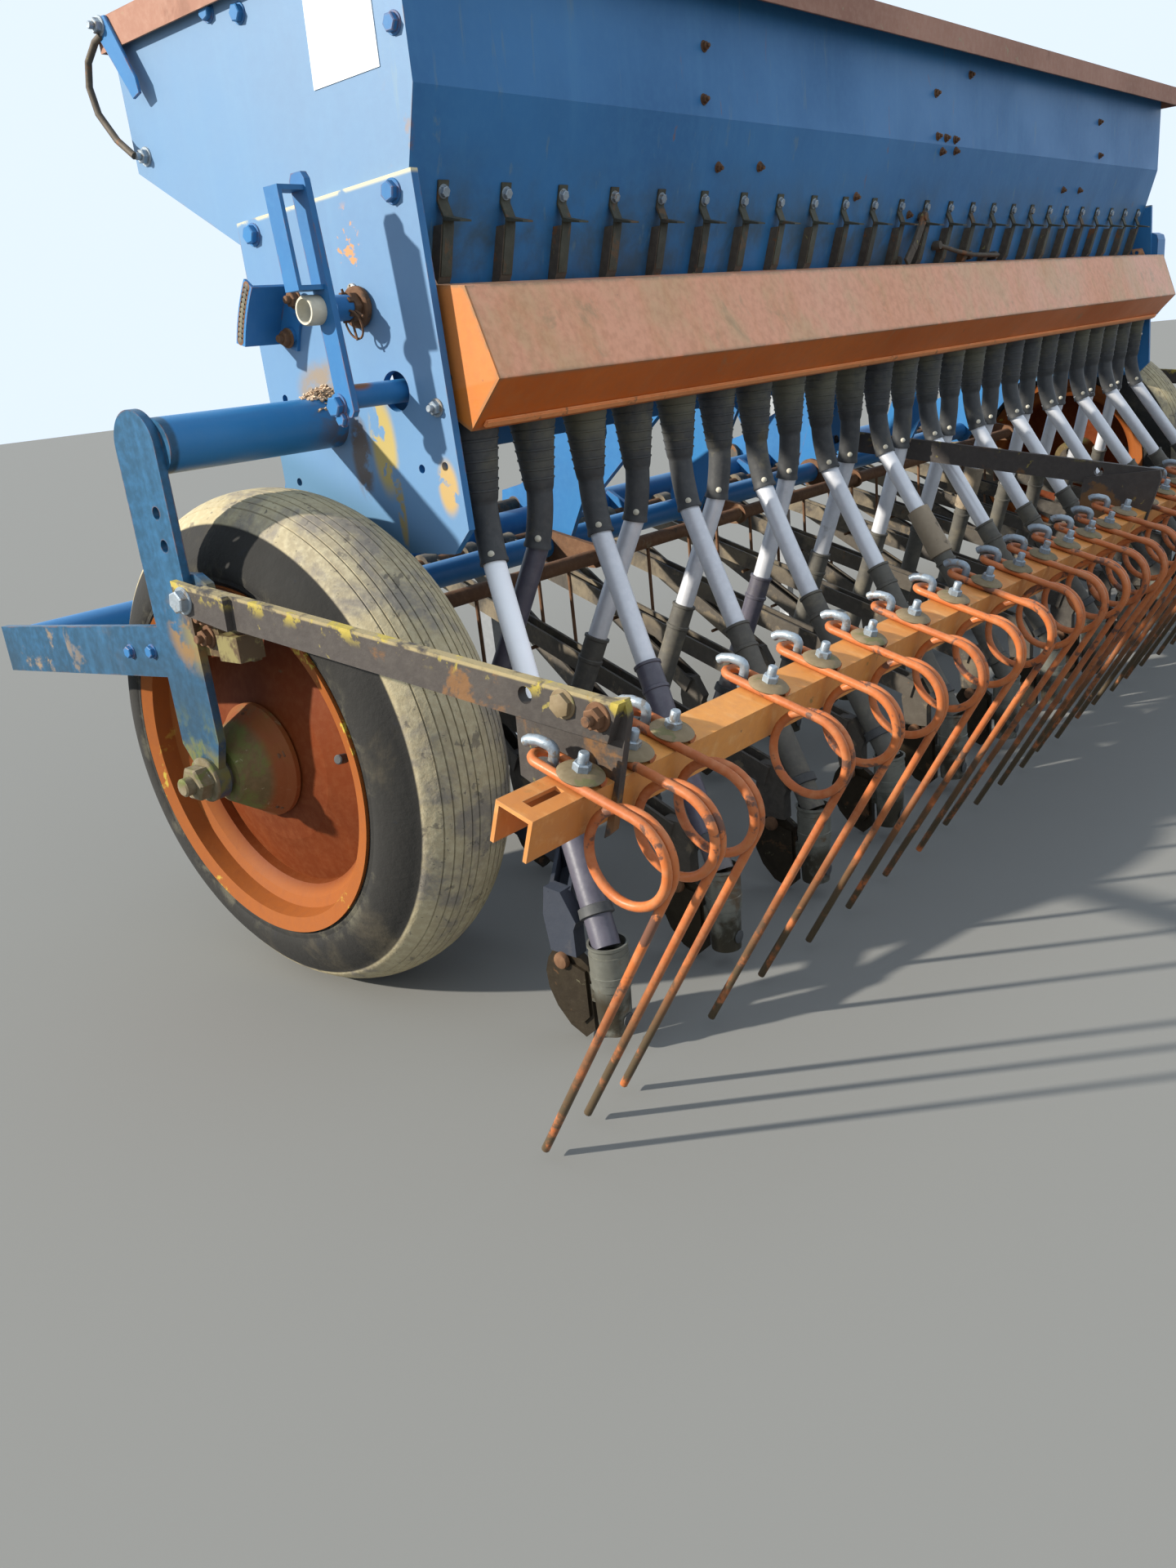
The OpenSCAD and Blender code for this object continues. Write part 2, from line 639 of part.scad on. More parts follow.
// sag of the tine bar's two parts, and the slope it gives them
function sag(x) = x < bar_joint_x
  ? -end_rise + (left_sag + end_rise) * (x + bar_half) / (bar_joint_x + bar_half)
  : -end_rise + (right_sag + end_rise) * (bar_half - x) / (bar_half - bar_joint_x);
function slope(x) = x < bar_joint_x
  ? atan((left_sag + end_rise) / (bar_joint_x + bar_half))
  : -atan((right_sag + end_rise) / (bar_half - bar_joint_x));
// a place along the bar, in the bar's own frame: its top face slopes down to the rear
module on_bar(x)
  translate([x, tine_bar_y, tine_bar_z - sag(x)]) rotate([0, slope(x), 0]) rotate([bar_tilt, 0, 0]) children();

module bracket_at(x)
  xprism([[-314, 460], [-318, 474], [-439, 488], [-441, 474], [-413, 368], [-403, 360], [-311, 404]],
         x, x + 8);
module harrow_brackets() color("dimgray")
  difference() {
    union() {
      bracket_at(-harrow_arm_x + arm_bar_t / 2);
      settled() bracket_at(centre_arm_x - arm_bar_t / 2 - 8);
      bracket_at(harrow_arm_x - arm_bar_t / 2 - 8);
    }
    for (x = [-harrow_arm_x, centre_arm_x, harrow_arm_x])
      on_bar(x) translate([-30, -bar_s / 2 - fit, -bar_s / 2 - 30])
        cube([60, bar_s + fit * 2, bar_s + 30 + fit]);
  }

// channel open below, in two parts end to end
module bar_part(x0, x1)
  on_bar(x0) {
    long = (x1 - x0) / cos(slope(x0));
    difference() {
      translate([0, -bar_s / 2, -bar_s / 2]) cube([long, bar_s, bar_s]);
      translate([-5, -bar_s / 2 + 4, -bar_s / 2 - 5]) cube([long + 10, bar_s - 8, bar_s + 1]);
    }
  }
module tine_bar() color("darkorange")
  difference() {
    union() {
      bar_part(-bar_half, bar_joint_x - 0.1);
      bar_part(bar_joint_x + 0.1, bar_half);
    }
    for (s = [-1, 1]) on_bar(s * 1575) translate([-20, -5, 0]) cube([40, 10, bar_s]);
  }

// sprung tine: a bend clamped on the bar, a straight wire, one and a quarter coils and a leg
module bend(centre, r, from, sweep)
  translate(centre) rotate([90, 0, 90]) rotate([0, 0, from])
    rotate_extrude(angle = sweep, $fn = 48) translate([r, 0]) circle(r = wire_r, $fn = 24);
module tine(x) {
  near = x - 12;
  bend_y = 34;
  straight_r = wire_r - 0.5;
  over = bar_s / 2 + wire_r + 0.1;
  centre = [near, coil_y, coil_z - sag(x)];
  beside = [8.6, 0, 0];
  head = [near, tine_bar_y + bend_y * cos(bar_tilt) - over * sin(bar_tilt),
          tine_bar_z - sag(x) + bend_y * sin(bar_tilt) + over * cos(bar_tilt)];
  top = centre + coil_r * [0, cos(coil_start), sin(coil_start)];
  low = centre + beside + coil_r * [0, cos(coil_end), sin(coil_end)];
  tip = [near + 8.6, -310, tine_tip_z + 3];
  on_bar(x) translate([0, 0, over]) {
    translate([0, bend_y, 0]) rotate_extrude(angle = 180, $fn = 32)
      translate([12, 0]) circle(r = wire_r, $fn = 24);
    translate([12, bend_y + 1.5, 0]) rotate([90, 0, 0])
      cylinder(r = straight_r, h = bend_y + 21.5, $fn = 24);
  }
  rod(along(head, top, -0.015), along(head, top, 1.02), straight_r);
  bend(centre, coil_r, coil_start, 322);
  bend(centre + beside, coil_r, 50, coil_end - 50);
  rod(along(low, tip, -0.006), tip, straight_r);
}

module harrow_tines() color("orangered") {
  for (x = outer_tines, s = [-1, 1]) tine(s * x);
  for (x = left_tines) tine(x);
  for (x = right_tines) tine(x);
}

module place() translate([0, y_shift, -ground_z]) children();

place() hopper();
place() hopper_divider();
place() agitator_shaft();
place() side_plate_left();
place() side_plate_right();
place() main_beam();
place() front_cross_tube();
place() side_members();
place() headstock();
place() lower_link_pins();
place() wheel_carrier_left();
place() wheel_carrier_right();
place() stub_axles();
place() shutters();
place() seed_housings();
place() feed_shaft();
place() seed_funnels();
place() upper_seed_tubes();
place() lower_seed_tubes();
place() coulter_hinge_bar();
place() lift_tube();
place() bar_hangers();
place() drawbars();
place() coulter_shares();
place() coulter_boots();
place() lift_gear();
place() harrow_hanger();
place() quadrant_plate();
place() control_lever();
place() drive_case();
place() stand_sleeves();
place() parking_leg_left();
place() parking_leg_right();
place() tyre_left();
place() rim_left();
place() hub_left();
place() tyre_right();
place() rim_right();
place() hub_right();
place() lid();
place() rear_cover();
place() harrow_arms();
place() harrow_brackets();
place() tine_bar();
place() harrow_tines();
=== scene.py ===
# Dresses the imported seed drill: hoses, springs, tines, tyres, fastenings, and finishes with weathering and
# some painted sunlight and shade.
import json
import random
from math import sin, cos, pi, radians, sqrt
import bpy
import bmesh
import numpy as np
from mathutils import Vector, Matrix, Euler


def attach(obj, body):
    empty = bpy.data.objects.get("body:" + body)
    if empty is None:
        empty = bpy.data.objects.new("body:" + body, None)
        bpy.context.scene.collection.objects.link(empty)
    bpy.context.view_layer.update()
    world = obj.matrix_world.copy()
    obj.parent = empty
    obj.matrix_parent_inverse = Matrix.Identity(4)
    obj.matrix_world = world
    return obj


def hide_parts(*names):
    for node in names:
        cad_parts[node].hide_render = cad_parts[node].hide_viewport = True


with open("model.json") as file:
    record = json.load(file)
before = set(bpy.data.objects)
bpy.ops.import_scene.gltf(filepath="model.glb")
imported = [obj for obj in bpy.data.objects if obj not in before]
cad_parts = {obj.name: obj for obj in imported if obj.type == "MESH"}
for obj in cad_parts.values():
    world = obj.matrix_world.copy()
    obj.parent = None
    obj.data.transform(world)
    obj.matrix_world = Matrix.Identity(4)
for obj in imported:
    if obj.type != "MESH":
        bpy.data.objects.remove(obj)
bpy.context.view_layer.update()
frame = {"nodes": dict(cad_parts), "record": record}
cadNodes = frame["nodes"]
shiftY = -0.12525          # the drawings' Y starts at the shutter bolts
groundZ = 0.006            # and its Z runs 6 mm under the ground
print("frame loaded:", len(cadNodes), "nodes")


def place(x, y, z):
    return Vector((x, y + shiftY, z - groundZ))


def mm(x, y, z):
    return place(x / 1000, y / 1000, z / 1000)


camera = {"spot": (-2.21726, -1.02873, 0.75416), "heading": 0.837874, "pitch": 0.348125,
          "roll": -0.107454, "lens": 27.356}


def addCamera(c):
    data = bpy.data.cameras.new("photoCamera")
    data.sensor_width = 36
    data.lens = c["lens"]
    data.clip_start = 0.05
    ahead = Vector((sin(c["heading"]) * cos(c["pitch"]), cos(c["heading"]) * cos(c["pitch"]),
                    -sin(c["pitch"])))
    right = Vector((cos(c["heading"]), -sin(c["heading"]), 0))
    up = right.cross(ahead)
    rolledRight = right * cos(c["roll"]) + up * sin(c["roll"])
    rolledUp = up * cos(c["roll"]) - right * sin(c["roll"])
    matrix = Matrix((rolledRight, rolledUp, -ahead)).transposed().to_4x4()
    matrix.translation = place(*c["spot"])
    obj = bpy.data.objects.new("photoCamera", data)
    obj.matrix_world = matrix
    bpy.context.collection.objects.link(obj)
    bpy.context.scene.camera = obj


addCamera(camera)


def link(tree, a, b):
    tree.links.new(a, b)


# a node with its settings, and its inputs given as sockets or plain values
def addNode(tree, kind, feeds=None, **settings):
    node = tree.nodes.new(kind)
    for key, value in settings.items():
        setattr(node, key, value)
    for key, value in (feeds or {}).items():
        if isinstance(value, bpy.types.NodeSocket):
            link(tree, value, node.inputs[key])
        else:
            node.inputs[key].default_value = value
    return node


def noise(tree, coord, scale, detail=4.0, rough=0.55, stretch=None, distort=0.0):
    if stretch:
        coord = addNode(tree, "ShaderNodeMapping", {"Vector": coord, "Scale": stretch}).outputs["Vector"]
    feeds = {"Vector": coord, "Scale": scale, "Detail": detail, "Roughness": rough, "Distortion": distort}
    return addNode(tree, "ShaderNodeTexNoise", feeds).outputs["Fac"]


def spread(tree, value, low, high, toLow=0.0, toHigh=1.0):
    feeds = {"Value": value, "From Min": low, "From Max": high, "To Min": toLow, "To Max": toHigh}
    return addNode(tree, "ShaderNodeMapRange", feeds, interpolation_type="SMOOTHSTEP").outputs["Result"]


def maths(tree, how, a, b):
    clamp = how in ("ADD", "SUBTRACT")
    return addNode(tree, "ShaderNodeMath", {0: a, 1: b}, operation=how, use_clamp=clamp).outputs[0]


def blendColour(tree, amount, a, b):
    a, b = ((*v, 1) if isinstance(v, tuple) else v for v in (a, b))
    mix = addNode(tree, "ShaderNodeMix", {0: amount, 6: a, 7: b}, data_type="RGBA", clamp_factor=True)
    return mix.outputs[2]


def vectorMaths(tree, how, a, b=(0, 0, 0)):
    return addNode(tree, "ShaderNodeVectorMath", {0: a, 1: b}, operation=how).outputs


# dirt, rust or flaking in patches: noise scale, where it starts, colour, amount; edge keeps it to corners
def spot(scale, start, colour, amount=1.0, soft=0.05, edge=0.0):
    return {"scale": scale, "from": start, "colour": colour, "amount": amount, "soft": soft, "edge": edge}


# a stain in one place, also used for painted light and shade: a plane is (way, low, high), a blob (centre and
# radii in the drawings' mm) and a ring (low and high, m from the axles' line); patch breaks it up: noise
# scale, where it starts, softness
def zone(kind, where, colour, amount=1.0, patch=None, stretch=None, bothEnds=False):
    return {"kind": kind, "where": where, "colour": colour, "amount": amount, "patch": patch,
            "stretch": stretch, "bothEnds": bothEnds}


def paint(base, shade, fine, rough, **more):
    return {"base": base, "shade": shade, "fine": fine, "rough": rough, **more}


def zoneMask(tree, coord, area):
    where, limits = area["where"], (1.0, 0.55)
    if area["kind"] == "plane":
        if area["bothEnds"]:
            coord = vectorMaths(tree, "ABSOLUTE", coord)["Vector"]
        reach, limits = vectorMaths(tree, "DOT_PRODUCT", coord, where[0])["Value"], where[1:]
    elif area["kind"] == "blob":
        moved = vectorMaths(tree, "SUBTRACT", coord, mm(*where[0]))["Vector"]
        moved = vectorMaths(tree, "DIVIDE", moved, [r / 1000 for r in where[1]])["Vector"]
        reach = vectorMaths(tree, "LENGTH", moved)["Value"]
    else:
        moved = vectorMaths(tree, "SUBTRACT", coord, mm(0, wheel["y"], wheel["z"]))["Vector"]
        moved = vectorMaths(tree, "MULTIPLY", moved, (0, 1, 1))["Vector"]
        reach, limits = vectorMaths(tree, "LENGTH", moved)["Value"], where
    mask = spread(tree, reach, *limits)
    if area["patch"]:
        scale, start, soft = area["patch"]
        stain = noise(tree, coord, scale, 6, 0.65, stretch=area["stretch"], distort=0.3)
        mask = maths(tree, "MULTIPLY", mask, spread(tree, stain, start, start + soft))
    return maths(tree, "MULTIPLY", mask, area["amount"])


# how far a point lies on a rounded-off edge
def edgeMask(tree, radius):
    bevel = addNode(tree, "ShaderNodeBevel", {"Radius": radius}, samples=4)
    geometry = addNode(tree, "ShaderNodeNewGeometry")
    turned = vectorMaths(tree, "DOT_PRODUCT", bevel.outputs[0], geometry.outputs["Normal"])["Value"]
    return spread(tree, turned, 0.985, 0.9)


def weatherAndPaintedLight(name, f):
    material = bpy.data.materials.new(name)
    material.use_nodes = True
    tree = material.node_tree
    shader = tree.nodes["Principled BSDF"].inputs
    coord = addNode(tree, "ShaderNodeTexCoord").outputs["Object"]
    broad = noise(tree, coord, f.get("broadScale", 2.5), 5)
    colour = blendColour(tree, spread(tree, broad, 0.35, 0.7), f["base"], f["shade"])
    for area in f.get("under", ()):
        colour = blendColour(tree, zoneMask(tree, coord, area), colour, area["colour"])
    if "streak" in f:
        streak = noise(tree, coord, 1.0, 4, 0.6, stretch=f.get("streakStretch", (28, 28, 1.6)))
        streak = spread(tree, streak, 0.5, 0.78, 0, f.get("streakAmount", 0.6))
        colour = blendColour(tree, streak, colour, f["streak"])
    fine = noise(tree, coord, f.get("fineScale", 90), 3, 0.6)
    speckle = spread(tree, fine, 0.35, 0.75, 0, f.get("fineAmount", 0.3))
    colour = blendColour(tree, speckle, colour, f["fine"])
    for dirt in f.get("spots", ()):
        patch = noise(tree, coord, dirt["scale"], 6, 0.65, distort=0.4)
        patch = spread(tree, patch, dirt["from"], dirt["from"] + dirt["soft"], 0, dirt["amount"])
        if dirt["edge"]:
            patch = maths(tree, "MULTIPLY", patch, edgeMask(tree, dirt["edge"]))
        colour = blendColour(tree, patch, colour, dirt["colour"])
    for area in f.get("zones", ()):
        colour = blendColour(tree, zoneMask(tree, coord, area), colour, area["colour"])
    link(tree, colour, shader["Base Color"])
    link(tree, spread(tree, broad, 0.3, 0.75, *f["rough"]), shader["Roughness"])
    shader["Metallic"].default_value = f.get("metal", 0.0)
    shader["Specular IOR Level"].default_value = f.get("sheen", 0.3)
    feeds = {"Strength": f.get("bump", 0.25), "Distance": 0.002, "Height": fine}
    bump = addNode(tree, "ShaderNodeBump", feeds)
    link(tree, bump.outputs["Normal"], shader["Normal"])
    return material


wheel = {"x": 1370, "y": 205, "z": 323, "segments": 120, "radius": 317, "treadHalf": 66.0, "crownDrop": 24.5,
         "crownPower": 2.4, "ribWide": 8.6, "wideFrom": 52, "groove": 1.9, "grooveDeep": 3.6,
         "sidewall": [(204, 64), (206, 76), (208.5, 84), (214, 86.6), (223, 88), (226, 91), (231, 90.6),
                      (233, 91.8), (242, 91.9), (252, 89.8), (262, 86.2), (272, 80.6), (280, 75), (286, 70),
                      (287.5, 69.6)]}
rust, moss = (0.21, 0.085, 0.030), (0.11, 0.13, 0.03)
# the second colour here is a painted highlight for the side plate's top edge
lichen, paintedEdgeHighlight = (0.42, 0.33, 0.05), (0.62, 0.55, 0.33)
bluePaint = paint((0.03, 0.165, 0.38), (0.022, 0.12, 0.29), (0.042, 0.175, 0.36), (0.34, 0.52),
        streak=(0.055, 0.21, 0.4), streakAmount=0.3, bump=0.06, spots=[
            spot(14, 0.72, rust, 0.7), spot(60, 0.73, (0.27, 0.33, 0.3), 0.6),
            spot(26, 0.46, rust, 0.75, soft=0.14, edge=0.003)])
springPaint = paint((0.46, 0.128, 0.034), (0.33, 0.088, 0.026), (0.46, 0.2, 0.09), (0.36, 0.6),
        fineAmount=0.5, bump=0.2, broadScale=9, spots=[spot(26, 0.57, (0.06, 0.045, 0.04), 0.8)],
        zones=[zone("plane", ((0, 0, 1), 0.3, 0.07), (0.075, 0.052, 0.028), patch=(30, 0.3, 0.2))])
finishes = {
    "bluePaint": bluePaint,
    "hopperBlue": {**bluePaint, "zones": [
            zone("plane", ((0, -1, 0), 0.1, 0.12), rust, 0.7, patch=(1.0, 0.66, 0.06), stretch=(34, 34, 5)),
            zone("plane", ((0, -0.3, -1), -0.95, -0.84), (0.045, 0.06, 0.055), 0.75, patch=(7, 0.4, 0.25)),
            zone("plane", ((0, -1, 0), 0.08, 0.1), (0.11, 0.19, 0.24), 0.5, patch=(1.0, 0.6, 0.1),
                stretch=(55, 55, 6)),
            zone("blob", ((-1252, 10, 985), (12, 30, 60)), rust, 0.8, patch=(22, 0.48, 0.1)),
            # both end faces: chalked paint, made paler still as painted sunlight
            zone("plane", ((1, 0, 0), 1.2495, 1.2505), (0.29, 0.37, 0.43), 0.8, bothEnds=True)]},
    "plateBlue": {**bluePaint, "zones": [
            # both end faces: chalked paint, made paler still as painted sunlight
            zone("plane", ((1, 0, 0), 1.2595, 1.2605), (0.29, 0.37, 0.43), 0.7, bothEnds=True),
            # painted shade: the plate darker low down and towards the front, below the wheel arm's tube
            zone("plane", ((0, 0.5, -1), -0.615, -0.56), (0.075, 0.165, 0.25), 0.75),
            zone("blob", ((-1260, 97, 672), (14, 27, 70)), (0.4, 0.31, 0.11), patch=(26, 0.4, 0.05)),
            zone("blob", ((-1260, 83, 600), (14, 9, 60)), (0.3, 0.24, 0.11), patch=(26, 0.42, 0.1)),
            zone("blob", ((-1260, -3, 622), (14, 20, 38)), (0.42, 0.29, 0.12), patch=(26, 0.38, 0.05)),
            zone("blob", ((-1260, 108, 893), (14, 28, 45)), (0.48, 0.24, 0.1), patch=(70, 0.56, 0.05)),
            zone("blob", ((-1260, 190, 735), (16, 62, 46)), (0.27, 0.19, 0.1), 0.8, patch=(20, 0.36, 0.2)),
            zone("blob", ((-1260, 140, 662), (14, 22, 60)), (0.12, 0.085, 0.06), 0.9,
                patch=(30, 0.44, 0.12)),
            # cream along the plate's top edge: painted highlight where the edge catches the sky
            zone("plane", ((0, 0.0347, 1), 0.9335, 0.938), paintedEdgeHighlight, 0.9, patch=(30, 0.34, 0.15))]},
    "armBlue": {**bluePaint, "base": (0.027, 0.175, 0.385), "shade": (0.02, 0.122, 0.285),
        "under": [zone("plane", ((1, 0, 0), 1.49, 1.495), (0.013, 0.05, 0.088), 0.9, bothEnds=True)],
        "zones": [
            zone("plane", ((0, 0, -1), -0.52, -0.4), (0.018, 0.04, 0.06), 0.6, patch=(5, 0.3, 0.3)),
            zone("plane", ((0, 1, 0), 0.2, 0.45), (0.3, 0.2, 0.1), 0.8, patch=(14, 0.54, 0.08)),
            zone("plane", ((0, 0, -1), -0.42, -0.34), moss, 0.8, patch=(26, 0.46, 0.12)),
            zone("blob", ((-1509, 110, 500), (70, 100, 80)), (0.085, 0.056, 0.03)),
            zone("blob", ((-1509, 110, 500), (70, 100, 80)), (0.2, 0.17, 0.07), patch=(30, 0.46, 0.1)),
            zone("blob", ((-1500, 190, 500), (30, 45, 60)), (0.2, 0.12, 0.05), patch=(26, 0.46, 0.1)),
            zone("blob", ((-1508, 215, 336), (20, 60, 40)), (0.13, 0.12, 0.04), 0.8, patch=(24, 0.4, 0.14)),
            zone("plane", ((1, 0, 0), -1.33, -1.27), (0.13, 0.09, 0.06), 0.7, patch=(26, 0.42, 0.15))]},
    "shaftBlue": {**bluePaint,
        "zones": [zone("blob", ((-1318, 62, 741), (26, 16, 10)), rust, patch=(30, 0.34, 0.1))]},
    "darkBluePaint": paint((0.078, 0.066, 0.052), (0.044, 0.039, 0.034), (0.125, 0.11, 0.09), (0.42, 0.7),
        bump=0.3, spots=[spot(16, 0.56, (0.17, 0.135, 0.09), 0.7), spot(40, 0.66, rust, 0.6)], zones=[
            zone("plane", ((0, 0, 1), 0.25, 0.36), (0.22, 0.18, 0.12), 0.8, patch=(12, 0.4, 0.2)),
            zone("plane", ((-1, 0, 0), 1.205, 1.225), (0.026, 0.034, 0.052), 0.85)]),
    "orangePaint": paint((0.42, 0.115, 0.024), (0.33, 0.085, 0.018), (0.38, 0.14, 0.05), (0.38, 0.62),
        streak=(0.47, 0.19, 0.07), streakAmount=0.35, bump=0.12, spots=[
            spot(24, 0.7, (0.2, 0.17, 0.06), 0.7), spot(60, 0.72, (0.08, 0.05, 0.035), 0.8),
            spot(30, 0.42, (0.15, 0.12, 0.06), 0.8, soft=0.16, edge=0.003)]),
    "fadedPaint": paint((0.36, 0.175, 0.115), (0.27, 0.135, 0.095), (0.42, 0.26, 0.19), (0.6, 0.85),
        bump=0.15, spots=[
            spot(9, 0.6, (0.19, 0.085, 0.055), 0.6, soft=0.12), spot(26, 0.64, (0.3, 0.28, 0.17), 0.6),
            spot(30, 0.45, (0.13, 0.09, 0.06), 0.7, soft=0.15, edge=0.003)]),
    "springOrange": springPaint,
    "darkSteel": paint((0.105, 0.085, 0.062), (0.062, 0.05, 0.04), (0.17, 0.145, 0.11), (0.55, 0.8),
        bump=0.4, metal=0.2, spots=[spot(22, 0.58, rust, 0.7), spot(55, 0.66, (0.3, 0.27, 0.1), 0.7)]),
    "rustyIron": paint((0.155, 0.075, 0.036), (0.085, 0.045, 0.026), (0.25, 0.14, 0.075), (0.7, 0.92),
        bump=0.55, metal=0.1,
        spots=[spot(30, 0.6, (0.06, 0.042, 0.03), 0.8), spot(18, 0.62, (0.24, 0.2, 0.12), 0.5)]),
    "galvanised": paint((0.42, 0.43, 0.44), (0.29, 0.3, 0.31), (0.52, 0.53, 0.53), (0.32, 0.5), bump=0.15,
        metal=0.7, spots=[spot(26, 0.66, (0.17, 0.12, 0.07), 0.6)]),
    "blackRubber": paint((0.058, 0.06, 0.062), (0.038, 0.039, 0.04), (0.11, 0.108, 0.1), (0.45, 0.7),
        bump=0.2, spots=[spot(14, 0.58, (0.13, 0.115, 0.075), 0.6, soft=0.12)],
        zones=[zone("plane", ((0, 0, 1), 0.585, 0.69), (0.145, 0.135, 0.085), 0.85, patch=(10, 0.4, 0.2))]),
    "lowerHose": paint((0.085, 0.078, 0.105), (0.055, 0.052, 0.066), (0.15, 0.14, 0.16), (0.3, 0.5),
        bump=0.12, sheen=0.5, spots=[spot(10, 0.52, (0.14, 0.125, 0.1), 0.55, soft=0.2)]),
    "greyHose": paint((0.7, 0.71, 0.74), (0.52, 0.53, 0.56), (0.8, 0.8, 0.82), (0.28, 0.45), bump=0.06,
        metal=0.2, sheen=0.5, spots=[spot(16, 0.62, (0.2, 0.18, 0.15), 0.55, soft=0.1)]),
    "dustyHose": paint((0.105, 0.098, 0.082), (0.062, 0.058, 0.052), (0.16, 0.15, 0.12), (0.5, 0.7),
        bump=0.15, spots=[spot(12, 0.54, (0.19, 0.165, 0.115), 0.6, soft=0.2)]),
    "oliveWasher": paint((0.2, 0.145, 0.08), (0.13, 0.1, 0.055), (0.3, 0.24, 0.15), (0.6, 0.85), bump=0.3,
        spots=[spot(40, 0.56, (0.12, 0.12, 0.045), 0.7)]),
    # pale plastic for the nearest upper tube, lightened further as painted sunlight
    "paleHoseWithPaintedSun": paint((0.94, 0.94, 0.96), (0.84, 0.85, 0.87), (0.96, 0.96, 0.97), (0.3, 0.45), bump=0.05,
        sheen=0.5, spots=[spot(30, 0.68, (0.35, 0.3, 0.24), 0.6)]),
    "tanSleeve": paint((0.3, 0.235, 0.16), (0.2, 0.16, 0.11), (0.38, 0.31, 0.22), (0.6, 0.85),
        spots=[spot(30, 0.6, (0.12, 0.09, 0.06), 0.7)]),
    "creamPlastic": paint((0.62, 0.58, 0.47), (0.45, 0.42, 0.33), (0.7, 0.66, 0.55), (0.5, 0.7),
        spots=[spot(50, 0.62, (0.25, 0.2, 0.13), 0.5)]),
    "palePlate": paint((0.74, 0.76, 0.78), (0.64, 0.67, 0.69), (0.8, 0.81, 0.82), (0.35, 0.5),
        spots=[spot(30, 0.7, (0.35, 0.38, 0.4), 0.6)]),
    "shutterOlive": paint((0.06, 0.062, 0.04), (0.038, 0.036, 0.028), (0.11, 0.105, 0.075), (0.5, 0.75),
        bump=0.3, spots=[spot(26, 0.56, (0.12, 0.065, 0.03), 0.7)]),
    "beadPaint": paint((0.86, 0.32, 0.11), (0.66, 0.24, 0.08), (0.8, 0.4, 0.2), (0.5, 0.7),
        spots=[spot(26, 0.6, (0.2, 0.11, 0.06), 0.7)]),
    "mossyIron": paint((0.19, 0.145, 0.085), (0.12, 0.095, 0.05), (0.3, 0.27, 0.2), (0.6, 0.85), bump=0.4,
        spots=[spot(34, 0.5, moss, 0.85, soft=0.1), spot(60, 0.62, (0.36, 0.35, 0.32), 0.7)]),
    "zincBolt": paint((0.33, 0.38, 0.42), (0.2, 0.24, 0.28), (0.46, 0.5, 0.53), (0.35, 0.55), fineScale=260,
        metal=0.5, spots=[spot(70, 0.56, (0.22, 0.15, 0.08), 0.6)]),
    "coverPaint": paint((0.6, 0.145, 0.016), (0.48, 0.105, 0.013), (0.37, 0.13, 0.045), (0.36, 0.6),
        streak=(0.56, 0.19, 0.05), streakAmount=0.3, bump=0.12, under=[
            # the cover's upper face: faded paint, made paler still as painted sky light
            zone("plane", ((0, 0.12, 1), 0.701, 0.7055), (0.74, 0.345, 0.205)),
            zone("plane", ((0, 0.12, 1), 0.701, 0.7055), (0.6, 0.36, 0.19), 0.8,
                patch=(9, 0.42, 0.22), stretch=(1, 1, 0.7)),
            zone("plane", ((1, 0, 0), 1.2375, 1.239), (0.47, 0.15, 0.026), 0.9, bothEnds=True)], spots=[
            spot(11, 0.6, (0.27, 0.22, 0.11), 0.45, soft=0.1), spot(60, 0.71, (0.1, 0.065, 0.045), 0.8),
            spot(30, 0.34, (0.17, 0.14, 0.08), 0.9, soft=0.2, edge=0.008)]),
    "rimPaint": paint((0.15, 0.03, 0.006), (0.1, 0.021, 0.005), (0.19, 0.062, 0.022), (0.5, 0.7),
        streak=(0.2, 0.05, 0.012), streakAmount=0.3, bump=0.12, sheen=0.12,
        under=[zone("ring", (0.168, 0.186), (0.25, 0.074, 0.016))],
        spots=[spot(20, 0.66, (0.11, 0.07, 0.035), 0.7)],
        zones=[zone("ring", (0.19, 0.214), lichen, 0.9, patch=(16, 0.6, 0.05))]),
    "hubPaint": paint((0.165, 0.085, 0.035), (0.1, 0.075, 0.03), (0.22, 0.14, 0.07), (0.6, 0.85), bump=0.4,
        spots=[spot(22, 0.44, moss, 0.85, soft=0.15), spot(40, 0.62, (0.3, 0.27, 0.17), 0.7)],
        zones=[zone("ring", (0.052, 0.06), (0.21, 0.05, 0.01), 0.85, patch=(26, 0.3, 0.14))]),
    "harrowSteel": paint((0.06, 0.051, 0.046), (0.036, 0.031, 0.027), (0.1, 0.088, 0.075), (0.5, 0.75),
        bump=0.35, metal=0.1,
        spots=[spot(9, 0.56, (0.2, 0.095, 0.032), 0.75, soft=0.06), spot(40, 0.64, (0.32, 0.26, 0.06), 0.7)],
        zones=[
            # cream along the arm's top face: painted highlight where the top catches the light
            zone("plane", ((0, -0.119, 1), 0.5438, 0.546), (0.36, 0.29, 0.15), 0.8, patch=(34, 0.36, 0.16)),
            zone("plane", ((0, -0.119, 1), 0.53, 0.546), lichen, 0.8, patch=(26, 0.55, 0.06)),
            zone("plane", ((0, -1, 0), 0.44, 0.5), (0.26, 0.18, 0.05), 0.7, patch=(24, 0.6, 0.06))]),
    "barPaint": paint((0.62, 0.265, 0.065), (0.46, 0.165, 0.04), (0.42, 0.18, 0.07), (0.42, 0.68),
        streak=(0.7, 0.4, 0.16), streakAmount=0.6, streakStretch=(60, 6, 60), bump=0.2, spots=[
            spot(26, 0.62, (0.2, 0.15, 0.05), 0.75), spot(44, 0.68, (0.085, 0.06, 0.04), 0.8),
            spot(30, 0.4, (0.34, 0.2, 0.09), 0.8, soft=0.2, edge=0.003)]),
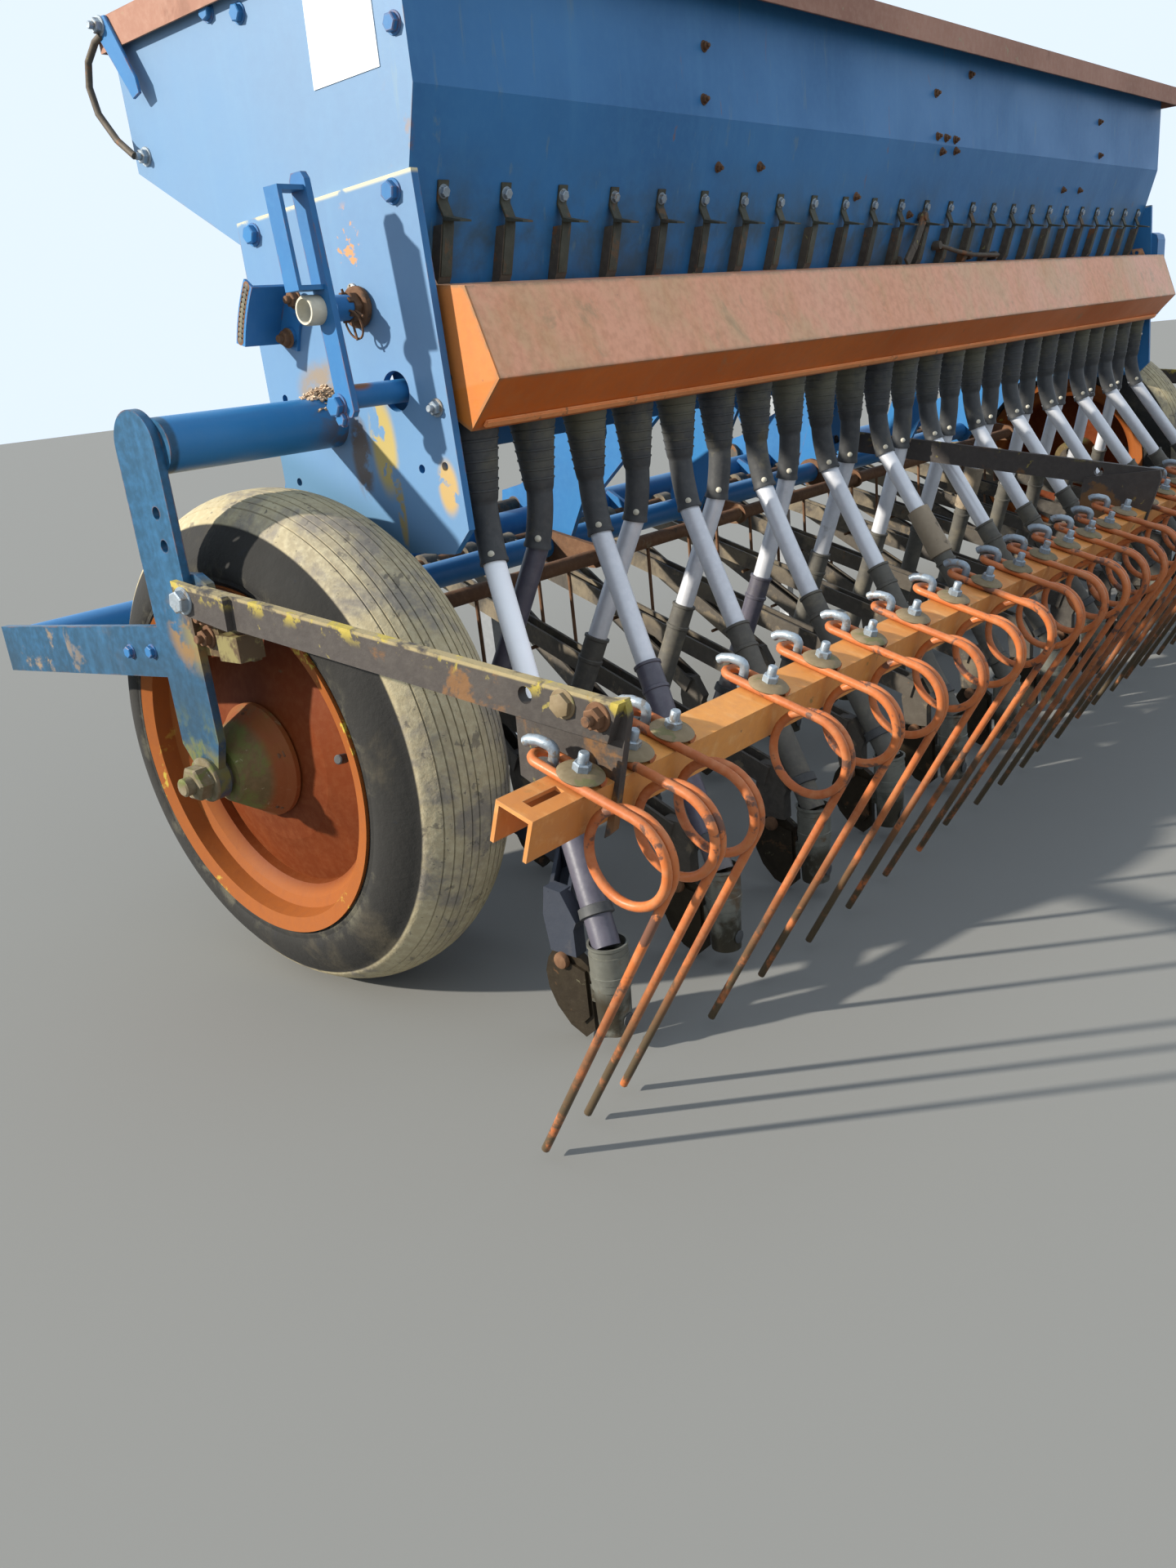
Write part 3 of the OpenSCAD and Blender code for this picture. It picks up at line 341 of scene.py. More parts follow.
    "shareIron": paint((0.026, 0.018, 0.009), (0.016, 0.011, 0.006), (0.05, 0.038, 0.022), (0.45, 0.75),
        bump=0.45, metal=0.2,
        spots=[spot(18, 0.6, (0.1, 0.048, 0.02), 0.8), spot(34, 0.62, (0.16, 0.15, 0.09), 0.6)]),
    "bootZinc": paint((0.205, 0.205, 0.175), (0.13, 0.128, 0.105), (0.28, 0.28, 0.24), (0.3, 0.55), bump=0.2,
        metal=0.5, spots=[spot(20, 0.54, (0.13, 0.075, 0.035), 0.75, soft=0.12)], zones=[
            zone("plane", ((0, 0, -1), -0.088, -0.066), (0.045, 0.036, 0.022), 0.9, patch=(22, 0.34, 0.2))]),
    "mudTyre": paint((0.4, 0.335, 0.2), (0.29, 0.245, 0.165), (0.5, 0.44, 0.29), (0.8, 0.98), fineAmount=0.6,
        fineScale=120, bump=0.45, broadScale=6, spots=[
            spot(12, 0.5, (0.17, 0.155, 0.145), 0.7, soft=0.14), spot(46, 0.6, (0.09, 0.08, 0.07), 0.6),
            spot(110, 0.64, (0.055, 0.05, 0.046), 0.7)], zones=[
            zone("ring", (0.2885, 0.2855), (0.02, 0.019, 0.017)),
            zone("ring", (0.2885, 0.2855), (0.085, 0.07, 0.045), 0.7, patch=(7, 0.52, 0.2)),
            zone("ring", (0.25, 0.226), (0.12, 0.11, 0.075), 0.6, patch=(20, 0.5, 0.14)),
            zone("ring", (0.2885, 0.2855), (0.02, 0.02, 0.022), 0.8, patch=(60, 0.64, 0.05))]),
    "chaff": paint((0.6, 0.44, 0.3), (0.3, 0.19, 0.11), (0.75, 0.62, 0.45), (0.8, 0.95), fineScale=200,
        broadScale=60),
}
materials = {name: weatherAndPaintedLight(name, f) for name, f in finishes.items()}
slotFinish = {"blue_paint": "bluePaint", "dark_blue_paint": "darkBluePaint", "orange_paint": "orangePaint",
              "faded_paint": "fadedPaint", "spring_orange": "springOrange", "dark_steel": "darkSteel",
              "rusty_iron": "rustyIron", "galvanised": "galvanised", "black_rubber": "blackRubber",
              "grey_plastic": "greyHose", "tyre": "mudTyre"}
nodeFinish = {"hopper": "hopperBlue", "side_plate_left": "plateBlue", "side_plate_right": "plateBlue",
              "wheel_carrier_left": "armBlue", "wheel_carrier_right": "armBlue", "feed_shaft": "shaftBlue",
              "rim_left": "rimPaint", "rim_right": "rimPaint",
              "hub_left": "hubPaint", "hub_right": "hubPaint",
              "harrow_arms": "harrowSteel", "harrow_brackets": "harrowSteel", "tine_bar": "barPaint",
              "coulter_shares": "shareIron", "coulter_boots": "bootZinc", "rear_cover": "coverPaint"}
for row in frame["record"]["subparts"]:
    node = cadNodes[row["node"]]
    for slotIndex in range(len(node.material_slots)):
        finish = nodeFinish.get(row["node"], slotFinish[row["material_slot"]])
        node.material_slots[slotIndex].material = materials[finish]
print("finishes:", len(materials))


def meshObject(name, mesh, work, sharp):
    work.to_mesh(mesh)
    work.free()
    mesh.shade_smooth()
    mesh.set_sharp_from_angle(angle=radians(sharp))
    obj = bpy.data.objects.new(name, mesh)
    bpy.context.collection.objects.link(obj)
    return obj


sources = []               # loose parts that repeatPart sets in place, removed at the end


# a mesh in the making, in metres: shells are closed and face outwards
class Shape:
    def __init__(self):
        self.points, self.faces = [], []

    def add(self, points, faces):
        base = len(self.points)
        self.points += [tuple(p) for p in points]
        self.faces += [tuple(base + i for i in face) for face in faces]

    def lathe(self, profile, centre=(0, 0, 0), axis=(0, 0, 1), segments=24, closed=False):
        # profile: (radius, distance along the axis), millimetres
        turn = Vector(axis).normalized().to_track_quat("Z", "Y").to_matrix()
        centre = Vector(centre)
        points, rings, faces = [], [], []
        for radius, along in profile:
            if radius < 1e-6:
                rings.append([len(points)])
                points.append(centre + turn @ Vector((0, 0, along / 1000)))
                continue
            rings.append([len(points) + k for k in range(segments)])
            points += [centre + turn @ Vector((radius * cos(2 * pi * k / segments) / 1000,
                                               radius * sin(2 * pi * k / segments) / 1000, along / 1000))
                       for k in range(segments)]
        pairs = list(zip(rings, rings[1:])) + ([(rings[-1], rings[0])] if closed else [])
        for low, high in pairs:
            for k in range(segments):
                n = (k + 1) % segments
                if len(low) == 1 and len(high) > 1:
                    faces.append((low[0], high[n], high[k]))
                elif len(high) == 1 and len(low) > 1:
                    faces.append((low[k], low[n], high[0]))
                elif len(low) > 1:
                    faces.append((low[k], low[n], high[n], high[k]))
        if not closed:
            if len(rings[0]) > 1:
                faces.append(tuple(reversed(rings[0])))
            if len(rings[-1]) > 1:
                faces.append(tuple(rings[-1]))
        self.add(points, faces)

    def plate(self, outline, x0, x1):
        # outline in Y and Z, extruded along X, millimetres in the drawings' frame
        area = sum(a[0] * b[1] - b[0] * a[1] for a, b in zip(outline, outline[1:] + outline[:1]))
        if area < 0:
            outline = outline[::-1]
        count = len(outline)
        points = [mm(x, *p) for x in (min(x0, x1), max(x0, x1)) for p in outline]
        faces = [tuple(range(count - 1, -1, -1)), tuple(range(count, 2 * count))]
        faces += [(k, (k + 1) % count, count + (k + 1) % count, count + k) for k in range(count)]
        self.add(points, faces)

    def block(self, size, matrix):
        a, b, c = (v / 2000 for v in size)
        corners = ((-a, -b), (a, -b), (a, b), (-a, b))
        points = [matrix @ Vector((x, y, z)) for z in (-c, c) for x, y in corners]
        self.add(points, [(3, 2, 1, 0), (4, 5, 6, 7), (0, 1, 5, 4), (1, 2, 6, 5), (2, 3, 7, 6), (3, 0, 4, 7)])

    def build(self, name, sharp=38, bevel=0.0):
        mesh = bpy.data.meshes.new(name)
        mesh.from_pydata(self.points, [], self.faces)
        soft = bmesh.new()
        soft.from_mesh(mesh)
        bmesh.ops.remove_doubles(soft, verts=soft.verts, dist=1e-6)
        bmesh.ops.recalc_face_normals(soft, faces=soft.faces)
        if bevel:
            edges = [e for e in soft.edges if e.is_manifold and e.calc_face_angle(0) > radians(30)]
            bmesh.ops.bevel(soft, geom=edges, offset=bevel / 1000, segments=2, affect="EDGES",
                            clamp_overlap=True)
        return meshObject(name, mesh, soft, sharp)

    def loose(self, name):
        sources.append(self.build(name))
        return sources[-1]


def dress(obj, finish, body="frame", replaces=()):
    obj.data.materials.clear()
    obj.data.materials.append(materials[finish])
    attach(obj, body)
    if replaces:
        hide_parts(*replaces)
    return obj


def socketsOf(tree):
    return {item.name: item.identifier for item in tree.interface.items_tree if item.in_out == "INPUT"}


def newTree(name, inputs):
    tree = bpy.data.node_groups.new(name, "GeometryNodeTree")
    tree.interface.new_socket("Geometry", in_out="OUTPUT", socket_type="NodeSocketGeometry")
    tree.interface.new_socket("Geometry", in_out="INPUT", socket_type="NodeSocketGeometry")
    for label, kind, value in inputs:
        socket = tree.interface.new_socket(label, in_out="INPUT", socket_type="NodeSocket" + kind)
        if value is not None:
            socket.default_value = value
    return tree, tree.nodes.new("NodeGroupInput"), tree.nodes.new("NodeGroupOutput")


def namedValue(tree, label, kind):
    named = addNode(tree, "GeometryNodeInputNamedAttribute", {"Name": label}, data_type=kind)
    return named.outputs["Attribute"]


def endTree(tree, geometry, entry, leave):
    real = addNode(tree, "GeometryNodeRealizeInstances", {"Geometry": geometry}).outputs["Geometry"]
    finish = addNode(tree, "GeometryNodeSetMaterial", {"Geometry": real, "Material": entry.outputs["Finish"]})
    link(tree, finish.outputs["Geometry"], leave.inputs[0])
    return tree


# one part set on many places: each place keeps its own turn and size
def makeRepeatTree():
    tree, entry, leave = newTree("repeatPart", (("Part", "Object", None), ("Twist", "Float", 0.0),
                                                ("Seed", "Int", 3), ("Finish", "Material", None)))
    given = entry.outputs
    part = addNode(tree, "GeometryNodeObjectInfo", {"Object": given["Part"]})
    chance = addNode(tree, "FunctionNodeRandomValue", {2: -1, "Seed": given["Seed"]}, data_type="FLOAT")
    twist = addNode(tree, "ShaderNodeMath", {0: chance.outputs[1], 1: given["Twist"]}, operation="MULTIPLY")
    about = addNode(tree, "FunctionNodeAxisAngleToRotation", {"Axis": (0, 0, 1), "Angle": twist.outputs[0]})
    turned = addNode(tree, "FunctionNodeRotateRotation", {
        0: namedValue(tree, "turn", "FLOAT_VECTOR"), 1: about.outputs[0]}, rotation_space="LOCAL")
    put = addNode(tree, "GeometryNodeInstanceOnPoints", {
        "Points": given["Geometry"], "Instance": part.outputs["Geometry"], "Rotation": turned.outputs[0],
        "Scale": namedValue(tree, "size", "FLOAT_VECTOR")})
    return endTree(tree, put.outputs["Instances"], entry, leave)


# a round wire, rod or hose along every line, as thick at each point as the line says
def makePipeTree():
    tree, entry, leave = newTree("pipeAlong", (("Sides", "Int", 12), ("Finish", "Material", None)))
    line = addNode(tree, "GeometryNodeMeshToCurve", {"Mesh": entry.outputs["Geometry"]})
    ring = addNode(tree, "GeometryNodeCurvePrimitiveCircle", {
        "Radius": 1.0, "Resolution": entry.outputs["Sides"]})
    skin = addNode(tree, "GeometryNodeCurveToMesh", {
        "Curve": line.outputs["Curve"], "Scale": namedValue(tree, "thick", "FLOAT"),
        "Profile Curve": ring.outputs["Curve"], "Fill Caps": True})
    return endTree(tree, skin.outputs["Mesh"], entry, leave)


repeatTree = makeRepeatTree()
pipeTree = makePipeTree()


def settle(name, seat, tree, values, sharp):
    holder = bpy.data.objects.new(name + "Seat", seat)
    bpy.context.collection.objects.link(holder)
    modifier = holder.modifiers.new("nodes", "NODES")
    modifier.node_group = tree
    names = socketsOf(tree)
    for label, value in values.items():
        modifier[names[label]] = value
    bpy.context.view_layer.update()
    mesh = bpy.data.meshes.new_from_object(holder.evaluated_get(bpy.context.evaluated_depsgraph_get()))
    mesh.name = name
    holder.modifiers.remove(modifier)
    bpy.data.objects.remove(holder)
    for layer in ("turn", "size", "thick"):
        if layer in mesh.attributes:
            mesh.attributes.remove(mesh.attributes[layer])
    tidy = bmesh.new()
    tidy.from_mesh(mesh)
    bmesh.ops.recalc_face_normals(tidy, faces=tidy.faces)
    return meshObject(name, mesh, tidy, sharp)


# spots: (place, direction of the part's Z, size)
def repeatPart(name, part, spots, finish, body="frame", twist=0.0, replaces=()):
    seat = bpy.data.meshes.new(name + "Seat")
    seat.from_pydata([tuple(s[0]) for s in spots], [], [])
    turn = seat.attributes.new("turn", "FLOAT_VECTOR", "POINT")
    size = seat.attributes.new("size", "FLOAT_VECTOR", "POINT")
    for k, (_, way, *sizes) in enumerate(spots):
        aim = way if isinstance(way, Euler) else Vector(way).to_track_quat("Z", "Y").to_euler()
        turn.data[k].vector = tuple(aim)
        scale = sizes[0] if sizes else 1.0
        size.data[k].vector = scale if isinstance(scale, tuple) else (scale, scale, scale)
    obj = settle(name, seat, repeatTree, {"Part": part, "Twist": twist, "Finish": materials[finish]}, 38)
    return dress(obj, finish, body, replaces)


# lines: lists of (point, radius in millimetres)
def pipeAlong(name, lines, finish, body="frame", sides=12, replaces=(), sharp=50):
    points, edges, thick = [], [], []
    for line in lines:
        base = len(points)
        points += [tuple(p) for p, _ in line]
        thick += [r / 1000 for _, r in line]
        edges += [(base + k, base + k + 1) for k in range(len(line) - 1)]
    seat = bpy.data.meshes.new(name + "Seat")
    seat.from_pydata(points, edges, [])
    seat.attributes.new("thick", "FLOAT", "POINT").data.foreach_set("value", thick)
    obj = settle(name, seat, pipeTree, {"Sides": sides, "Finish": materials[finish]}, sharp)
    return dress(obj, finish, body, replaces)


def bezier(a, b, c, count):
    return [a * (1 - t) ** 2 + b * 2 * t * (1 - t) + c * t * t for t in (k / count for k in range(count + 1))]


# a bolt head or a nut, with a washer under it and a thread end past it
def hexHead(name, across, height, washer, washerR, thread=0.0, threadR=0.0):
    shape = Shape()
    radius, top = across / sqrt(3), washer + height
    shape.lathe([(0, 0), (washerR, 0), (washerR, washer * 0.6), (washerR * 0.96, washer),
                 (across * 0.62, washer), (0, washer)], segments=24)
    shape.lathe([(0, washer), (radius, washer), (radius, washer + height * 0.86), (radius * 0.87, top),
                 (0, top)], segments=6)
    if thread:
        shape.lathe([(0, top), (threadR, top), (threadR, top + thread * 0.85),
                     (threadR * 0.8, top + thread), (0, top + thread)], segments=12)
    return shape.loose(name)


boltHead = hexHead("boltHead", 17, 7, washer=1.6, washerR=12)
nutHead = hexHead("nutHead", 17, 8, washer=2, washerR=13, thread=7, threadR=5)
bigNut = hexHead("bigNut", 30, 14, washer=3, washerR=22, thread=10, threadR=9)


# outlets, tubes and coulters share one count and the CAD's own lines
seedPath = {"count": 25, "outletPitch": 100, "coulterPitch": 112, "rowGap": 371, "tipY": -197,
            "funnelY": 5, "topZ": 550, "lowZ": 150, "joint": 0.45}


def outletX(i):
    return (i - (seedPath["count"] - 1) / 2) * seedPath["outletPitch"]


def coulterX(i):
    return (i - (seedPath["count"] - 1) / 2) * seedPath["coulterPitch"]


def rowY(i):
    return seedPath["rowGap"] if i % 2 else 0


def tubeTop(i):
    return mm(outletX(i), seedPath["funnelY"], seedPath["topZ"])


def tubeLow(i):
    return mm(coulterX(i), seedPath["tipY"] - 44 + rowY(i), seedPath["lowZ"])


funnel = {"rimR": 29.0, "rimZ": 690, "taper": 0.118, "stemR": 18.4, "stemZ": 600, "bendZ": 570, "neck": 16.6,
          "cuff": 1.2, "sections": 26, "lips": 6, "lipZ": 670, "lipStep": 11.5, "lipHigh": 1.1, "rivetAt": 22,
          "rim": [(25, 690.5), (29, 690), (29, 676)], "foot": [(18.2, 599), (17.2, 598)],
          "inside": [(13.2, 598), (13.2, 604), (25, 676)],
          "stud": [(0, 0), (4.2, 0), (4.2, 1.6), (2.6, 3.2), (0, 3.6)]}


def addFunnels(f):
    def taper(z):
        return f["rimR"] - (f["rimZ"] - z) * f["taper"] if z > f["stemZ"] else f["stemR"]

    shape = Shape()
    profile = list(f["rim"])
    for k in range(f["lips"]):
        z = f["lipZ"] - k * f["lipStep"]
        crest = taper(z) + f["lipHigh"]
        profile += [(taper(z), z), (crest, z - 0.6), (crest, z - 2.4), (taper(z), z - 3.2)]
    profile += f["foot"] + f["inside"]
    shape.lathe(profile[::-1], segments=28, closed=True)
    part = shape.loose("funnelPart")
    spots = [(mm(outletX(i), seedPath["funnelY"], 0), (0, 0, 1)) for i in range(seedPath["count"])]
    repeatPart("seedFunnels", part, spots, "blackRubber", replaces=("seed_funnels",))
    lines, rivets = [], []
    for i in range(seedPath["count"]):
        top, bend = (mm(outletX(i), seedPath["funnelY"], z) for z in (f["stemZ"], f["bendZ"]))
        end = tubeTop(i).lerp(tubeLow(i), 0.06)
        path = bezier(top, bend, end, f["sections"])
        lines.append([(p, f["neck"] + (f["cuff"] if k < 2 or k > f["sections"] - 2 else 0))
                      for k, p in enumerate(path)])
        rivets.append((path[f["rivetAt"]] + Vector((-0.0120, -0.0100, 0)), (-0.8, -0.6, 0.1)))
    pipeAlong("funnelNecks", lines, "blackRubber", sides=18, sharp=35)
    stud = Shape()
    stud.lathe(f["stud"], segments=12)
    part = stud.loose("studPart")
    repeatPart("neckRivets", part, rivets, "creamPlastic")
    print("funnels:", len(spots))


# collar: distance back from the tube's low end and radius; sleeve: distance past the joint and radius
tube = {"upper": 14.0, "lower": 16.8, "lip": 18.4, "sway": 0.006, "blackOnes": (1,), "sleeved": (10, 15),
        "cleanOnes": (0, 1, 2, 7), "collar": ((34, 17), (33, 19.6), (22, 20.2), (21, 17)),
        "sleeve": ((-70, 15), (-69, 19.5), (20, 20.5), (21, 17))}


def addTubes(t):
    upper, dark, sunPaintedLines, lower, dusty, collars, sleeves = [], [], [], [], [], [], []
    luck = random.Random(11)
    for i in range(seedPath["count"]):
        a, b = tubeTop(i), tubeLow(i)
        low = a.lerp(b, 1.03)
        run = (b - a).length * 1000
        sway = Vector((luck.uniform(-1, 1), luck.uniform(-1, 1), 0)) * t["sway"]

        def at(mmAlong):
            u = mmAlong / run
            return a.lerp(b, u) + sway * 4 * max(0, u) * max(0, 1 - u)

        joint = run * seedPath["joint"]
        line = [(at(s), t["upper"]) for s in np.linspace(14, joint + 30, 14)]
        # the nearest tube (0) takes the hose with painted sunlight
        (dark if i in t["blackOnes"] else sunPaintedLines if i == 0 else upper).append(line)
        line = []
        for s, r in ((0, t["upper"] + 0.5), (0.5, t["lip"]), (4, t["lip"]), (5, t["lower"]), (33, t["lower"]),
                     (34, t["lip"]), (38, t["lip"]), (39, t["lower"])):
            line.append((at(joint + s), r))
        for s in np.linspace(joint + 60, run * 1.02, 10):
            line.append((at(s), t["lower"] - 0.6))
        line.append((low, t["lower"] - 0.6))
        (lower if i in t["cleanOnes"] else dusty).append(line)
        collars.append([(at(run - s), r) for s, r in t["collar"]])
        if i in t["sleeved"]:
            sleeves.append([(at(joint + s), r) for s, r in t["sleeve"]])
    for name, lines, finish, slot, sharp, node in (
            ("upperSeedTubes", upper, "greyHose", "grey_plastic", 50, ("upper_seed_tubes",)),
            ("blackUpperTube", dark, "lowerHose", "black_rubber", 50, ("upper_seed_tubes",)),
            ("brightUpperTube", sunPaintedLines, "paleHoseWithPaintedSun", "grey_plastic", 50, ("upper_seed_tubes",)),
            ("lowerSeedTubes", lower, "lowerHose", "black_rubber", 35, ("lower_seed_tubes",)),
            ("dustySeedTubes", dusty, "dustyHose", "black_rubber", 35, ("lower_seed_tubes",)),
            ("tubeCollars", collars, "blackRubber", "black_rubber", 35, ()),
            ("tubeSleeves", sleeves, "tanSleeve", "grey_plastic", 35, ())):
        pipeAlong(name, lines, finish, sides=20, sharp=sharp, replaces=node)
    print("seed tubes:", len(lower) + len(dusty))


# the bar's frame, as in the drawings
harrow = {"barY": -395, "barZ": 400.6, "tilt": 18.6, "size": 40, "half": 1610, "jointX": -203,
          "leftSag": 17, "rightSag": 10, "rise": 3, "wire": 4.5, "coilR": 42, "coilY": -455, "coilZ": 363,
          "coilStart": 108.6, "coilEnd": 209, "coilPitch": 9.2, "coilStep": 9, "tipY": -308, "tipZ": 17,
          "bendAt": 34, "bendR": 12, "studAt": -3,
          "clamp": [(0, 0), (20, 0), (21, 1.5), (19, 3.4), (11, 5.4), (0, 5.4)],
          "nut": [(0, 5.4), (8.2, 5.4), (8.2, 11.4), (7.0, 12.4), (0, 12.4)],
          "thread": [(0, 12.4), (4.8, 12.4), (4.8, 21), (4.0, 22), (0, 22)],
          "outer": (1408, 1468, 1535),
          "left": (-1245, -1140, -1035, -925, -812, -710, -605, -510, -415, -322, -232),
          "right": (-152, -35, 61, 158, 254, 351, 447, 543, 640, 736, 832, 929, 1025, 1121, 1218)}
tineXs = sorted([s * x for x in harrow["outer"] for s in (-1, 1)] + list(harrow["left"] + harrow["right"]))


def sag(x):
    h = harrow
    if x < h["jointX"]:
        return -h["rise"] + (h["leftSag"] + h["rise"]) * (x + h["half"]) / (h["jointX"] + h["half"])
    return -h["rise"] + (h["rightSag"] + h["rise"]) * (h["half"] - x) / (h["half"] - h["jointX"])


# a point by the bar: forward is along its top face, up is off it
def onBar(x, forward, up):
    h = harrow
    t = radians(h["tilt"])
    return mm(x, h["barY"] + forward * cos(t) - up * sin(t),
              h["barZ"] - sag(x) + forward * sin(t) + up * cos(t))


def addTines(h):
    luck = random.Random(5)
    lines, hooks, nuts = [], [], []
    for x in tineXs:
        over = h["size"] / 2 + h["wire"] + 0.2
        under = (-20, 0, 20, h["bendAt"])
        path = [onBar(x + h["bendR"], s, over) for s in under]
        path += [onBar(x + h["bendR"] * cos(a), h["bendAt"] + h["bendR"] * sin(a), over)
                 for a in (radians(15 * k) for k in range(1, 12))]
        path += [onBar(x - h["bendR"], s, over) for s in under[::-1]]
        sweep = 360 + h["coilEnd"] - h["coilStart"]
        turns = int(sweep / h["coilStep"])
        for k in range(turns + 1):
            angle = radians(h["coilStart"] + k * sweep / turns)
            path.append(mm(x - h["bendR"] + h["coilPitch"] * k * h["coilStep"] / 360,
                           h["coilY"] + h["coilR"] * cos(angle),
                           h["coilZ"] - sag(x) + h["coilR"] * sin(angle)))
        end = mm(x - 1 + luck.uniform(-3, 3), h["tipY"] + luck.uniform(-6, 4), h["tipZ"])
        start = path[-1]
        path += [start.lerp(end, u) for u in (0.12, 0.3, 0.5, 0.7, 0.88, 1)]
        lines.append([(p, h["wire"]) for p in path])
        up = (onBar(x, 0, 30) - onBar(x, 0, 20)).normalized()
        nuts.append((onBar(x + 1, h["studAt"], over + 2.6), up))
        hook = [onBar(x + 1, 27, s) for s in (22, 26, 30)]
        hook += [onBar(x + 1 - 3 * (1 - cos(a)), 35 - 8 * cos(a), 32 + 8 * sin(a)) for a in
                 (radians(22 * k) for k in range(1, 5))]
        hook += [onBar(x - 2, 44, 39), onBar(x - 3, 52, 36), onBar(x - 3, 56, 32)]
        hooks.append([(p, 5.0) for p in hook])
    pipeAlong("harrowTines", lines, "springOrange", "harrow", sides=10,
              replaces=("harrow_tines",))
    pipeAlong("tineHooks", hooks, "zincBolt", "harrow", sides=10)
    clamp = Shape()
    clamp.lathe(h["clamp"], segments=28)
    part = clamp.loose("clampPart")
    repeatPart("tineClamps", part, nuts, "oliveWasher", "harrow", twist=3.0)
    stud = Shape()
    stud.lathe(h["nut"], segments=6)
    stud.lathe(h["thread"], segments=12)
    part = stud.loose("clampNutPart")
    repeatPart("clampNuts", part, nuts, "zincBolt", "harrow", twist=3.0)
    print("tines:", len(lines))


def addTyres(w):
    # sidewall, shoulder and ribbed tread: radius and distance from the wheel's middle
    def crown(x):
        return w["radius"] - 0.4 - w["crownDrop"] * (max(x, 0) / w["treadHalf"]) ** w["crownPower"]

    tread = []
    x = w["treadHalf"]
    while x > 1:
        wide = w["ribWide"] if x < w["wideFrom"] else w["ribWide"] * 1.6
        x1 = max(x - wide, 0.6)
        tread += [(crown(x), x), (crown(x1), x1)]
        x = x1 - w["groove"]
        if x > 1:
            tread += [(crown(x1) - w["grooveDeep"], x1 - 0.4), (crown(x) - w["grooveDeep"], x + 0.4)]
    half = w["sidewall"] + tread
    profile = half + [(r, -x) for r, x in half[::-1]]
    for name, sign in (("left", -1), ("right", 1)):
        shape = Shape()
        shape.lathe([(r, w["x"] * sign + x) for r, x in profile[::-1]], mm(0, w["y"], w["z"]), (1, 0, 0),
                    w["segments"], closed=True)
        obj = shape.build("tyre" + name.title(), sharp=32)
        dress(obj, "mudTyre", "wheel_" + name, ("tyre_" + name,))
    print("tyres: 2")


# the hopper's rear wall: upright down to the fold, then sloping
wall = {"y": -22, "foldZ": 1027, "run": 67, "drop": 221, "upright": (0, -1, 0), "slope": (0, -0.957, -0.290)}


def wallY(z):
    return wall["y"] + max(0.0, wall["foldZ"] - z) * wall["run"] / wall["drop"]


def discs(name, spots, radius, height, finish, body="frame", rise=0.0):
    # spots: (place, direction)
    shape = Shape()
    shape.lathe([(0, 0), (radius, 0), (radius, height * 0.7), (radius * 0.9, height), (0, height + rise)],
                segments=20)
    return repeatPart(name, shape.loose(name + "Part"), spots, finish, body)


# bolts on both ends: groups of (distance from the middle, size, places in Y and Z)
fastening = {
    "blue": ((1260, 1.1, ((20, 932), (275, 923))), (1250, 0.95, ((242, 1147), (299, 1161), (-6, 1083))),
             (1513, 0.75, ((319, 469), (269, 473)))),
    "zinc": ((1526, 1.3, ((155, 542),)),), "nuts": ((1260, 0.8, ((-2, 710),)),),
    "rusted": ((1503, 1.0, ((158, 496), (151, 520))),), "footX": -1269, "foot": ((205, 844), (232, 803)),
    "wall": ((-19, 1105), (122, 1144), (-13, 1039), (20, 1038), (58, 1037), (10, 1017), (65, 1020),
             (811, 1108), (820, 1042), (-719, 1109), (-727, 1047), (646, 972), (746, 973), (-61, 919),
             (-267, 943), (-677, 971), (-572, 975))}


def endSpots(groups):
    west = Vector((-1, 0, 0))
    return [(mm(side * x, y, z), west * -side, size) for side in (-1, 1) for x, size, places in groups
            for y, z in places]


def addFastenings(f):
    blue, zinc, nuts, rusted = (endSpots(f[kind]) for kind in ("blue", "zinc", "nuts", "rusted"))
    rusted += [(mm(f["footX"], y, z), (-1, 0, 0), 0.9) for y, z in f["foot"]]
    rusted += [(mm(x, wallY(z), z), wall["slope"] if z < wall["foldZ"] else wall["upright"], 0.55)
               for x, z in f["wall"]]
    repeatPart("blueHeads", boltHead, blue, "bluePaint", twist=3.0)
    repeatPart("zincHeads", boltHead, zinc, "zincBolt", twist=3.0)
    repeatPart("sideNuts", nutHead, nuts, "zincBolt", twist=3.0)
    repeatPart("rustedNuts", nutHead, rusted, "rustyIron", twist=3.0)
    print("fastenings:", len(blue) + len(zinc) + len(nuts) + len(rusted))


# spindle and castle nut beside the lever, its pins (turn, length), the ring, and the lever's band, whose
# holes are black discs of painted shade
leverTrim = {"spindle": (-1262, 101, 825), "castleX": -1283, "castleR": 12, "pinX": -1278,
             "pins": ((0.5, 26), (1.5, 24), (3.4, 30), (4.3, 34)), "pinR": 1.5, "loopR": 1.3,
             "ring": (-1339, 78, 823), "clamps": ((-1339, 69, 723, 1.15), (-1339, 64, 709, 0.75)),
             "screw": (-1260, 109, 842), "slotX": -1264.3, "band": (-1315, 62, 731), "bandR": 214.5,
             "holes": 12, "firstHole": 20.5, "holeStep": 1.56,
             "plate": [(23, 1050), (133, 1049), (129, 1134), (22, 1130)], "plateX": -1250}


